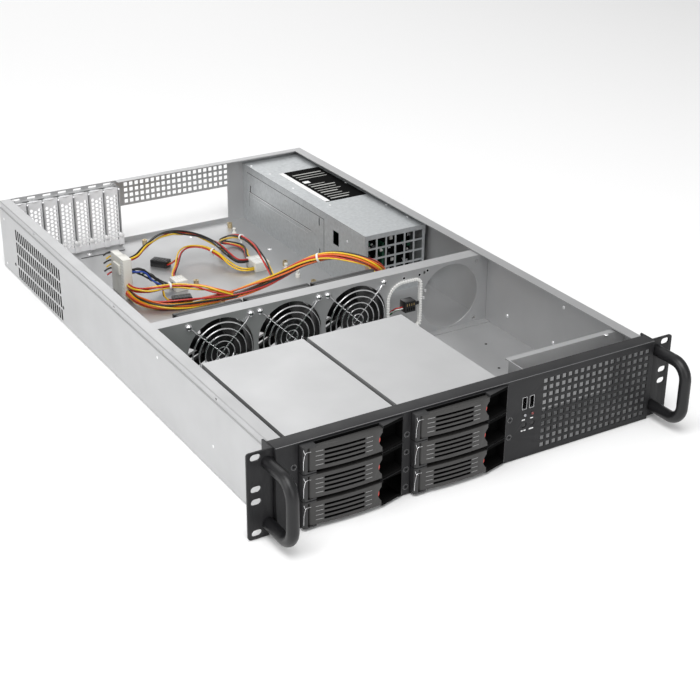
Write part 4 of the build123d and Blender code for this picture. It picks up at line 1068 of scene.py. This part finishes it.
@dataclass
class DriveTrays:
    """The six trays with their levers, marks and springs."""

    crown: tuple[tuple[float, float], ...] = ((-38.0, -7.9), (-6.0, -9.9), (26.6, -8.8))
    vent_heights: tuple[float, ...] = (-6.9, -2.3, 2.3, 6.9)
    mark_spans: tuple[tuple[float, float], ...] = ((-41.5, -34.2), (9.2, 16.0))
    mark_height: float = 0.5
    spring_wire: float = 0.27
    spring_lines: tuple[tuple[Point, ...], ...] = (
        ((-53.8, -7.4, -9.0), (-53.9, -8.0, 0.0), (-53.0, -8.2, 5.5), (-52.4, -8.3, 7.5)),
        ((-52.4, -8.3, 7.5), (-53.8, -8.4, 10.5), (-54.0, -8.2, 12.0)),
        ((-52.4, -8.3, 7.5), (-50.6, -8.4, 8.8), (-46.6, -8.3, 8.5)),
    )

    def face(self, x: float) -> float:
        """How far forward the lever's face stands at a place across it."""
        (xa, ya), (xb, yb), (xc, yc) = self.crown
        if x < xa:
            return ya + (x - xa) / -8.8 * 0.9
        first = ya * (x - xb) * (x - xc) / ((xa - xb) * (xa - xc))
        second = yb * (x - xa) * (x - xc) / ((xb - xa) * (xb - xc))
        third = yc * (x - xa) * (x - xb) / ((xc - xa) * (xc - xb))
        return first + second + third

    def marks(self, number: int, x: float, z: float) -> None:
        """The fine light lines at both ends of each slot."""
        shape = Shape()
        for height in self.vent_heights:
            for start, end in self.mark_spans:
                low = Vector((start, self.face(start), height))
                high = Vector((end, self.face(end), height))
                along = high - low
                turn = math.atan2(along.y, along.x)
                middle = (low + high) / 2 + Vector((x, 0, z))
                pose = Matrix.Translation(middle) @ Matrix.Rotation(turn, 4, "Z")
                half = along.length / 2
                tall = self.mark_height / 2
                shape.box((-half, -0.06, -tall), (half, 0.3, tall), MARK_AND_RIM_GREY, 0, pose)
        shape.piece(f"lever_{number}_marks", f"lever_{number}")

    def spring(self, number: int, x: float, z: float) -> None:
        """The bright forked spring at the tray's left end."""
        shape = Shape()
        for line in self.spring_lines:
            shape.wire([(x + dx, y, z + dz) for dx, y, dz in line], self.spring_wire, GUARD_STEEL)
        shape.piece(f"tray_{number}_spring", f"tray_{number}")

    def build(self) -> None:
        """Dresses all six."""
        number = 0
        for x in BAY_XS:
            for z in TRAY_ROWS:
                number += 1
                # The faces in each lever slot are painted black: painted shade in the slots.
                slots = []
                for height in self.vent_heights:
                    low = z + height - 1.2
                    high = z + height + 1.2
                    slots.append(Region((x - 33.2, -9.2, low), (x + 8.2, 0, high), MATT_BLACK_AND_SHADE))
                soft_copy(f"lever_{number}", f"lever_{number}", LEVER_GREY, 0.3, 35, slots)
                # The finger pocket and the tray's faces behind the lever are painted black: painted shade in
                # these recesses.
                pocket = Region((x + 27.6, -7.8, z - 10.6), (x + 52.6, 12, z + 10.6), MATT_BLACK_AND_SHADE)
                behind = Region((x - 49.3, -5.5, z - 13.2), (x + 27.3, 2, z + 13.2), MATT_BLACK_AND_SHADE)
                tray = f"tray_{number}"
                soft_copy(tray, tray, TRAY_GREY, 0.25, 35, (behind, pocket))
                self.marks(number, x, z)
                self.spring(number, x, z)


@dataclass
class FrontPanel:
    """The black panel with its controls, screws, ears and handles."""

    screw_columns: tuple[tuple[float, tuple[float, ...]], ...] = (
        (-197.2, (8.7, 27.2, 45.7, 64.2)),
        (-79.4, (8.7, 27.2, 45.7, 64.2)),
        (38.2, (27.6, 46.3)),
    )
    usb_xs: tuple[float, float] = (55.0, 63.6)
    light_xs: tuple[float, float] = (56.0, 65.0)
    light_z: float = 47.0
    bars: tuple[tuple[float, float, float, float], ...] = (
        (54.4, 3.6, 41.7, 42.9), (64.2, 3.4, 41.7, 42.9),
        (53.2, 2.2, 30.0, 31.3), (56.7, 2.6, 30.0, 31.3), (64.4, 5.2, 30.0, 31.3),
    )

    def screws(self) -> bpy.types.Object:
        """Countersunk screws with cross recesses."""
        shape = Shape()
        for x, heights in self.screw_columns:
            for z in heights:
                shape.rod((x, 0.02, z), 2.8, 1.5, Axis.Y, SCREW_BLACK, 24, top=1.5)
                shape.rod((x, 1.5, z), 1.5, 3.5, Axis.Y, SCREW_BLACK, 16)
                # The thin grey ring round each head is painted highlight on its rim.
                shape.ring((x, 0.1, z), 2.75, 0.14, Axis.Y, MARK_AND_RIM_GREY, 24, 6)
                shape.cross(x, z, 1.5, (-0.03, 0.3), MATT_BLACK_AND_SHADE)
        return shape.piece("panel_screws", "chassis", ["machine_screws"])

    def controls(self) -> None:
        """Port tongues, the two lights and the printed bars."""
        shape = Shape()
        for x in self.usb_xs:
            shape.box((x - 1.0, 1.9, 54.4), (x + 1.0, 16, 65.6), MATT_BLACK_AND_SHADE)
            for step in range(4):
                z = 56 + step * 2.4
                shape.box((x - 1.25, 2.4, z), (x - 0.95, 9, z + 0.9), GOLD)
        shape.piece("port_tongues", "chassis")
        shape = Shape()
        for x, finish in zip(self.light_xs, (PIPE_CLEAR, PIPE_RED)):
            shape.rod((x, -0.3, self.light_z), 1.5, 5, Axis.Y, finish, 20)
            shape.dome((x, -0.3, self.light_z), 1.5, -0.9, Axis.Y, finish)
            shape.rod((x, -0.25, self.light_z), 2.0, 5, Axis.Y, MOULDED_BLACK, 20)
        shape.piece("panel_lights", "chassis", ["indicator_lights"])
        shape = Shape()
        for x, wide, low, high in self.bars:
            shape.box((x - wide / 2, -0.05, low), (x + wide / 2, 0.1, high), MARK_WHITE)
        shape.piece("printed_bars", "chassis")

    def build(self) -> None:
        """Dresses the front."""
        soft_copy("handle_left", "chassis", HANDLE_COAT, 0, 50)
        soft_copy("handle_right", "chassis", HANDLE_COAT, 0, 50)
        # The bevel faces along the panel's top front edge take a painted highlight.
        edge = Region((-216, -0.05, 87.6), (216, 0.5, 87.99), EDGE_SHEEN)
        soft_copy("front_panel", "chassis", BLACK_COAT, 0.3, 35, (edge,))
        soft_copy("rack_ears", "chassis", BLACK_COAT, 0.3)
        soft_copy("button_left", "button_left", MOULDED_BLACK, 0.6)
        soft_copy("button_right", "button_right", MOULDED_BLACK, 0.6)
        self.screws()
        self.controls()


@dataclass
class FanWall:
    """Guards, screws and edge strip of the wall across the chassis, and the dark bands behind its fans."""

    ring_radii: tuple[float, ...] = (7.0, 13.6, 20.4, 27.4, 34.6)
    wire: float = 0.75
    spoke: tuple[tuple[float, float], ...] = (
        (-46.6, 0.8), (-44, 1.4), (-40, 2.25), (0, 2.25), (40, 2.25), (44, 1.4), (46.6, 0.8),
    )
    eyelet: float = 3.1
    head: float = 3.6
    tooth_pitch: float = 3.0
    opening: tuple[float, float, float, float] = (78.0, 121.0, 14.0, 73.0)
    big_corner: float = 20.0
    small_corner: float = 7.0
    band_half: float = 39.6
    band_depth: tuple[float, float] = (306.25, 312.5)
    band_height: tuple[float, float] = (74, 82.6)
    tabs: tuple[tuple[float, float], ...] = ((127.0, 57.1), (125.0, 48.5))
    holes: tuple[Point, ...] = ((98.8, 77.6, 1.7), (119.4, 77.4, 1.7), (130.0, 80.3, 1.7), (70.5, 81.0, 1.2))

    def corners(self, fan_x: float) -> list[tuple[float, float]]:
        """The four screw places around a fan, across and up."""
        return [(fan_x + i * FAN_REACH, FAN_Z + k * FAN_REACH) for i in (-1, 1) for k in (-1, 1)]

    def guards(self) -> None:
        """Round wire rings on crossed spokes, with eyelets at the screws."""
        shape = Shape()
        for x in FAN_XS:
            for radius in self.ring_radii:
                shape.ring((x, WALL_Y - 3.75, FAN_Z), radius, self.wire, Axis.Y, GUARD_STEEL, 48)
            for turn in (45, 135):
                wide = math.cos(math.radians(turn))
                tall = math.sin(math.radians(turn))
                line = []
                for reach, depth in self.spoke:
                    line.append((x + wide * reach, WALL_Y - depth, FAN_Z + tall * reach))
                shape.wire(line, self.wire, GUARD_STEEL)
            for across, high in self.corners(x):
                shape.ring((across, WALL_Y - 0.8, high), self.eyelet, self.wire, Axis.Y, GUARD_STEEL, 24)
        shape.piece("fan_guard_wires", "chassis", ["fan_guards"])

    def screws(self) -> None:
        """Rounded screw heads with cross recesses at each eyelet."""
        shape = Shape()
        for fan_x in FAN_XS:
            for x, z in self.corners(fan_x):
                shape.rod((x, WALL_Y - 1.5, z), self.head, 0.5, Axis.Y, SCREW_STEEL, 20)
                shape.dome((x, WALL_Y - 1.5, z), self.head, -2.0, Axis.Y, SCREW_STEEL, 20)
                shape.rod((x, WALL_Y - 1.5, z), 1.9, 9, Axis.Y, SCREW_STEEL, 12)
                shape.cross(x, z, 1.6, (WALL_Y - 3.52, WALL_Y - 2.6), SEAM_DARK)
        shape.piece("fan_screws", "chassis")

    def outline(self) -> list[tuple[Vector, Vector]]:
        """Places and outward directions along the edge of the cable opening, in X and Z."""
        x0, x1, z0, z1 = self.opening
        small = self.small_corner
        large = self.big_corner
        corners = ((x0, z0, small, 180), (x1, z0, small, 270), (x1, z1, small, 0), (x0, z1, large, 90))
        line: list[Vector] = []
        for x, z, radius, start in corners:
            inward_x = radius if x == x0 else -radius
            inward_z = radius if z == z0 else -radius
            centre = Vector((x + inward_x, 0, z + inward_z))
            for step in range(9):
                turn = math.radians(start + 90 * step / 8)
                line.append(centre + Vector((math.cos(turn), 0, math.sin(turn))) * radius)
        line.append(line[0])
        places: list[tuple[Vector, Vector]] = []
        spare = 0.0
        for before, after in zip(line, line[1:]):
            along = after - before
            where = spare
            while where < along.length:
                way = along.normalized()
                places.append((before + way * where, Vector((way.z, 0, -way.x))))
                where += self.tooth_pitch
            spare = where - along.length
        return places

    def strip(self) -> None:
        """The teeth of the edge strip, each straddling the sheet."""
        shape = Shape()
        for place, outward in self.outline():
            turn = math.atan2(-outward.z, outward.x)
            pose = Matrix.Translation(place) @ Matrix.Rotation(turn, 4, "Y")
            shape.box((-1.6, WALL_Y - 1.9, -1.1), (1.9, WALL_Y - 0.02, 1.1), NYLON_WHITE, 0.35, pose)
            rear = WALL_Y + WALL_T
            shape.box((-1.4, rear + 0.02, -1.0), (1.9, rear + 1.5, 1.0), NYLON_WHITE, 0, pose)
        shape.piece("edge_strip_teeth", "chassis")

    def small_marks(self) -> None:
        """Pierced holes, drawn as black discs of painted shade with bright rims of painted highlight, and the
        pressed tabs beside the cable opening.
        """
        shape = Shape()
        for x, z, radius in self.holes:
            shape.rod((x, WALL_Y - 0.06, z), radius, 0.1, Axis.Y, MATT_BLACK_AND_SHADE, 16)
            shape.ring((x, WALL_Y - 0.05, z), radius, 0.15, Axis.Y, ZINC_BRIGHT, 20, 6)
        for x, z in self.tabs:
            shape.box((x - 1.2, WALL_Y - 2.2, z - 1.6), (x + 1.2, WALL_Y, z + 1.6), ZINC_BRIGHT, 0.4)
        shape.piece("fan_wall_marks", "chassis")

    def dark_bands(self) -> None:
        """A black box behind each fan, seen over the top of the wall, that darkens the band there."""
        shape = Shape()
        y0, y1 = self.band_depth
        z0, z1 = self.band_height
        for x in FAN_XS:
            shape.box((x - self.band_half, y0, z0), (x + self.band_half, y1, z1), MOULDED_BLACK, 0.8)
        shape.piece("fan_dark_bands", "chassis")

    def build(self) -> None:
        """Dresses the wall, and all four rotors."""
        self.dark_bands()
        self.guards()
        self.screws()
        self.strip()
        self.small_marks()
        for number in (1, 2, 3):
            soft_copy(f"fan_rotor_{number}", f"fan_rotor_{number}", MOULDED_BLACK, 0, 30)
        soft_copy("psu_fan_rotor", "psu_fan_rotor", MOULDED_BLACK, 0, 30)


@dataclass
class Supply:
    """Fields, seams and rivets of the power supply."""

    rivets: tuple[tuple[float, float], ...] = (
        (133.5, 658), (133.0, 594), (203.0, 579), (142.0, 516), (204.0, 482), (204.0, 433.5), (127.5, 700),
    )
    side_lines: tuple[tuple[float, float, float, float, float, Finish], ...] = (
        (0.05, 532, 44.5, 700, 45.3, SEAM_DARK),
        (0.05, 700, 24, 700.5, 45.1, SEAM_DARK),
        (0.05, 500, 70.1, 706, 70.9, SEAM_DARK),
        (0.05, 499.6, 24, 500.4, 70.9, SEAM_DARK),
        # The two bright lines are painted highlight along folds of the side.
        (0.15, 532, 43.4, 700, 44.5, ZINC_BRIGHT),
        (0.1, 540, 38.6, 690, 39.0, ZINC_BRIGHT),
    )
    bars: int = 13
    bar_pitch: float = 8.2
    film: float = 0.08
    specks: int = 44
    inside_x: tuple[float, float] = (131, 200)
    inside_y: tuple[float, float] = (409, 428)
    inside_z: tuple[float, float] = (14, 70)
    speck_half: tuple[float, float] = (0.8, 2.2)

    def label(self) -> None:
        """A black field with pale bars beside a white strip."""
        shape = Shape()
        top = SUPPLY_TOP
        low = top + self.film
        high = low + self.film
        shape.box((143, 528, top), (203, 652, low), LABEL_BLACK)
        shape.box((143, 530, low), (150, 652, high), LABEL_WHITE)
        chance = random.Random(23)
        for step in range(self.bars):
            y = 634 - step * self.bar_pitch
            if 3 <= step <= 4:
                continue
            long = chance.uniform(22, 44)
            wide = 1.6 if step % 3 else 2.6
            shape.box((155, y, low), (155 + long, y + wide, high), LABEL_GREY)
        shape.box((154, 601, low), (163, 609, high), LABEL_WHITE)
        shape.piece("supply_label", "chassis")

    def seams(self) -> None:
        """Rivets on the lid, and the joints and slots of the side, with bright lines of painted highlight
        along its folds.
        """
        shape = Shape()
        for x, y in self.rivets:
            shape.dome((x, y, SUPPLY_TOP), 1.9, 0.7, Axis.Z, ZINC_BRIGHT)
        x = SUPPLY_X0 + 0.8
        for proud, y0, z0, y1, z1, finish in self.side_lines:
            shape.box((x - proud, y0, z0), (x + 0.2, y1, z1), finish)
        shape.dome((x, 444, 60), 1.8, -0.6, Axis.X, ZINC_BRIGHT)
        shape.piece("supply_seams", "chassis")

    def inside(self) -> None:
        """Small parts that show behind the front openings."""
        shape = Shape()
        chance = random.Random(31)
        for _ in range(self.specks):
            x = chance.uniform(*self.inside_x)
            z = chance.uniform(*self.inside_z)
            y = chance.uniform(*self.inside_y)
            size = chance.uniform(*self.speck_half)
            finish = chance.choice((NYLON_WHITE, SEAM_DARK, BOARD_GREEN, GUARD_STEEL))
            shape.box((x - size, y - 1, z - size), (x + size, y + 1, z + size), finish, 0.2)
        # A black sheet behind them: painted shade for the dark inside of the supply.
        shape.box((126, 429, 8), (204, 430.5, 76), MATT_BLACK_AND_SHADE)
        shape.piece("supply_inside", "chassis")

    def build(self) -> None:
        """Dresses the supply."""
        self.label()
        self.seams()
        self.inside()


@dataclass
class Chassis:
    """Perforated card covers, fasteners and small marks of the sheet metal."""

    card_x1: float = -61.5
    card_pitch: float = 20.32
    card_count: int = 7
    cell: float = 5.3
    hole: float = 2.05
    cover_y: float = 707.35
    cover_t: float = 0.9
    cover_half: float = 9.3
    cover_z: float = 4.0
    cover_top: float = 81.2
    web_z: float = 9.5
    web_rows: int = 12
    rib_z: float = 20.0
    rib_top: float = 79.0
    foot_r: float = 3.6
    floor_screws: tuple[tuple[float, float], ...] = (
        (-111.6, 512.3), (90.5, 700), (-109.3, 700), (-150, 420), (30, 690), (100, 600),
    )
    floor_holes: tuple[tuple[float, float], ...] = ((175.1, 224.5), (151.7, 167.9))
    left_rivets: tuple[tuple[float, float], ...] = ((704.5, 68), (708.0, 8), (247, 71), (124.5, 29.5))
    left_studs: tuple[tuple[float, float], ...] = ((675, 18), (513, 22))
    right_rivets: tuple[tuple[float, float], ...] = ((141.2, 70), (238.3, 21.7), (154.8, 22.1))
    rim_ys: tuple[float, ...] = (117.5, 358.0, 599.0)
    posts: tuple[tuple[float, float], ...] = ((83, 667.5), (83.5, 525.5), (86, 500))

    def card_xs(self) -> list[float]:
        """The middles of the card slots."""
        first = self.card_x1 - self.card_pitch * self.card_count
        return [first + self.card_pitch * (index + 0.5) for index in range(self.card_count)]

    def cell_mesh(self, height: float) -> bmesh.types.BMesh:
        """One punched cell of a cover, with its round hole.

        Args:
            height: The height of the cell.

        Returns:
            The cell, one sheet thick, in the plane of X and Z.
        """
        cell = bmesh.new()
        bmesh.ops.create_circle(cell, segments=16, radius=self.hole)
        edges = cell.edges[:]
        grown = bmesh.ops.extrude_edge_only(cell, edges=edges)["geom"]
        for vert in grown:
            if isinstance(vert, bmesh.types.BMVert):
                reach = max(abs(vert.co.x) / (self.cell / 2), abs(vert.co.y) / (height / 2))
                vert.co /= reach
        cell.normal_update()
        bmesh.ops.solidify(cell, geom=cell.faces[:], thickness=0.5)
        bmesh.ops.rotate(cell, matrix=Matrix.Rotation(math.pi / 2, 3, "X"), verts=cell.verts)
        return cell

    def web(self, shape: Shape, x: float) -> None:
        """The punched web of one cover, with its plain border.

        Args:
            shape: The shape that it goes into.
            x: The middle of the cover.
        """
        y = self.cover_y
        front = y - self.cover_t / 2
        back = y + self.cover_t / 2
        low = self.web_z
        high = low + self.web_rows * self.cell
        half = self.cell / 2
        grid = 1.5 * self.cell
        # The web and its border are painted lit, for the covers' bright reflection.
        for column in (-1, 0, 1):
            rows = self.web_rows if column else self.web_rows - 1
            start = low if column else low + half
            for row in range(rows):
                place = (x + column * self.cell, y, start + self.cell * (row + 0.5))
                shape.take(self.cell_mesh(self.cell), ZINC_PAINTED_LIT, Matrix.Translation(place))
        shape.box((x - half, front, low), (x + half, back, low + half), ZINC_PAINTED_LIT)
        shape.box((x - half, front, high - half), (x + half, back, high), ZINC_PAINTED_LIT)
        for side in (-1, 1):
            left = min(side * grid, side * self.cover_half)
            right = left + self.cover_half - grid
            shape.box((x + left, front, self.cover_z), (x + right, back, self.cover_top), ZINC_PAINTED_LIT)
        shape.box((x - grid, front, self.cover_z), (x + grid, back, low), ZINC_PAINTED_LIT)
        shape.box((x - grid, front, high), (x + grid, back, self.cover_top), ZINC_PAINTED_LIT)

    def rib(self, shape: Shape, x: float) -> None:
        """The bright rib beside one cover, from its foot tab to its round head.

        Args:
            shape: The shape that it goes into.
            x: The middle of the rib.
        """
        y = self.cover_y
        foot = self.rib_z - 3
        shape.box((x - 0.5, y - 4.0, self.rib_z), (x + 0.5, y - 0.5, self.rib_top), ZINC, 0.2)
        # A dark strip along one side of the rib: painted shadow.
        shape.box((x - 1.1, y - 1.2, self.rib_z), (x - 0.5, y - 0.5, self.rib_top), SEAM_DARK)
        shape.dome((x, y - 2.6, self.rib_top), 1.6, 2.2, Axis.Z, ZINC_BRIGHT)
        shape.box((x - 3.4, y - 2.6, self.cover_z), (x + 3.4, y - 1.6, foot - 1.5), ZINC_PAINTED_LIT, 0.3)
        shape.dome((x, y - 2.6, foot), self.foot_r, -1.8, Axis.Y, LABEL_WHITE)
        shape.rod((x, y - 2.6, foot), self.foot_r, 1.6, Axis.Y, LABEL_WHITE, 16)

    def covers(self) -> None:
        """One perforated cover per card slot, with its bent tab and its rib."""
        shape = Shape()
        y = self.cover_y
        top = self.cover_top
        half = self.cover_half
        for x in self.card_xs():
            self.web(shape, x)
            shape.box((x - half, y - 0.45, top), (x + half, y + 2.45, top + 0.9), ZINC_BRIGHT, 0.2)
            shape.rod((x, y + 4.5, top), 6.0, 0.8, Axis.Z, ZINC_BRIGHT, 24, 0.2)
            self.rib(shape, x + self.card_pitch / 2)
        shape.piece("card_covers", "chassis", ["slot_covers"])

    def screen(self) -> None:
        """A black sheet behind the left side's slots, painted shade that darkens them, and the tray with its
        slot faces in painted vent shade.
        """
        shape = Shape()
        shape.box((-HALF_W + 1.35, 515, 2.5), (-HALF_W + 1.6, 669, 70), MATT_BLACK_AND_SHADE)
        shape.piece("vent_shade_sheet", "chassis")
        slots = Region((-HALF_W + 0.05, 515, 2), (-HALF_W + 1.15, 672, 72), VENT_DARK)
        soft_copy("base_tray", "chassis", ZINC, 0, 30, (slots,))

    def fasteners(self) -> None:
        """Rivets, screws, holes, seams and posts of the floor, the sides and the cages."""
        shape = Shape()
        for x, y in self.floor_screws:
            shape.dome((x, y, FLOOR_TOP), 3.4, 1.6, Axis.Z, ZINC_BRIGHT)
            # A dark bar across each floor screw's head: painted shade in its slot.
            shape.box((x - 1.8, y - 0.4, FLOOR_TOP + 1.2), (x + 1.8, y + 0.4, FLOOR_TOP + 1.62), SEAM_DARK)
        # Floor holes drawn as black discs: painted shade in the holes.
        for x, y in self.floor_holes:
            shape.rod((x, y, FLOOR_TOP - 0.05), 1.6, 0.1, Axis.Z, MATT_BLACK_AND_SHADE)
        for y, z in self.left_rivets:
            shape.dome((-HALF_W, y, z), 1.7, -0.5, Axis.X, ZINC_BRIGHT)
        for y, z in self.left_studs:
            shape.dome((-HALF_W, y, z), 2.2, -0.8, Axis.X, MOULDED_BLACK)
        for y, z in self.right_rivets:
            shape.dome((HALF_W - 1.2, y, z), 2.2, -1.0, Axis.X, ZINC_BRIGHT)
        # Bright rings round the screw holes in the side rims: painted highlight.
        for y in self.rim_ys:
            for side in (-1, 1):
                x = side * (HALF_W - 1.4)
                shape.ring((x, y, 82.9), 1.75, 0.2, Axis.X, ZINC_BRIGHT, 20, 6)
        # A black strip in the gap between the drive cages: painted shade.
        shape.box((-79.6, 30, 60), (-79.0, 186, 80), MATT_BLACK_AND_SHADE)
        shape.box((-124, 690, FLOOR_TOP), (-64, 691.6, FLOOR_TOP + 0.5), SEAM_DARK)
        shape.dome((188, 42.2, 84), 2.4, 0.6, Axis.Z, ZINC_BRIGHT)
        shape.piece("sheet_fasteners", "chassis")
        shape = Shape()
        for x, y in self.posts:
            shape.rod((x, y, FLOOR_TOP), 2.9, 4.5, Axis.Z, NYLON_NATURAL, 20, 0.4)
            shape.rod((x, y, FLOOR_TOP + 4.4), 1.6, 6.0, Axis.Z, NYLON_NATURAL, 16, 0.5)
            shape.rod((x, y, FLOOR_TOP + 8.4), 2.3, 1.4, Axis.Z, NYLON_NATURAL, 16, 0.4)
        shape.piece("nylon_posts", "chassis")

    def build(self) -> None:
        """Dresses the sheet metal."""
        self.covers()
        self.screen()
        self.fasteners()


def finish_cad() -> None:
    """Gives each CAD node the finish of its material slot."""
    for row in frame["record"]["subparts"]:
        node = frame["nodes"][row["node"]]
        finish = CAGE_ZINC if row["node"] == "drive_cages" else CAD_FINISHES[row["material_slot"]]
        material = finish.material()
        if not node.material_slots:
            node.data.materials.append(material)
        for place in node.material_slots:
            place.link = "OBJECT"
            place.material = material


def main() -> None:
    """Builds the scene in order."""
    logging.basicConfig(level=logging.INFO, format="%(message)s")
    studio = Studio()
    studio.camera()
    Looms().build()
    finish_cad()
    Chassis().build()
    FrontPanel().build()
    DriveTrays().build()
    FanWall().build()
    Supply().build()
    studio.build()


if __name__ == "__main__":
    main()
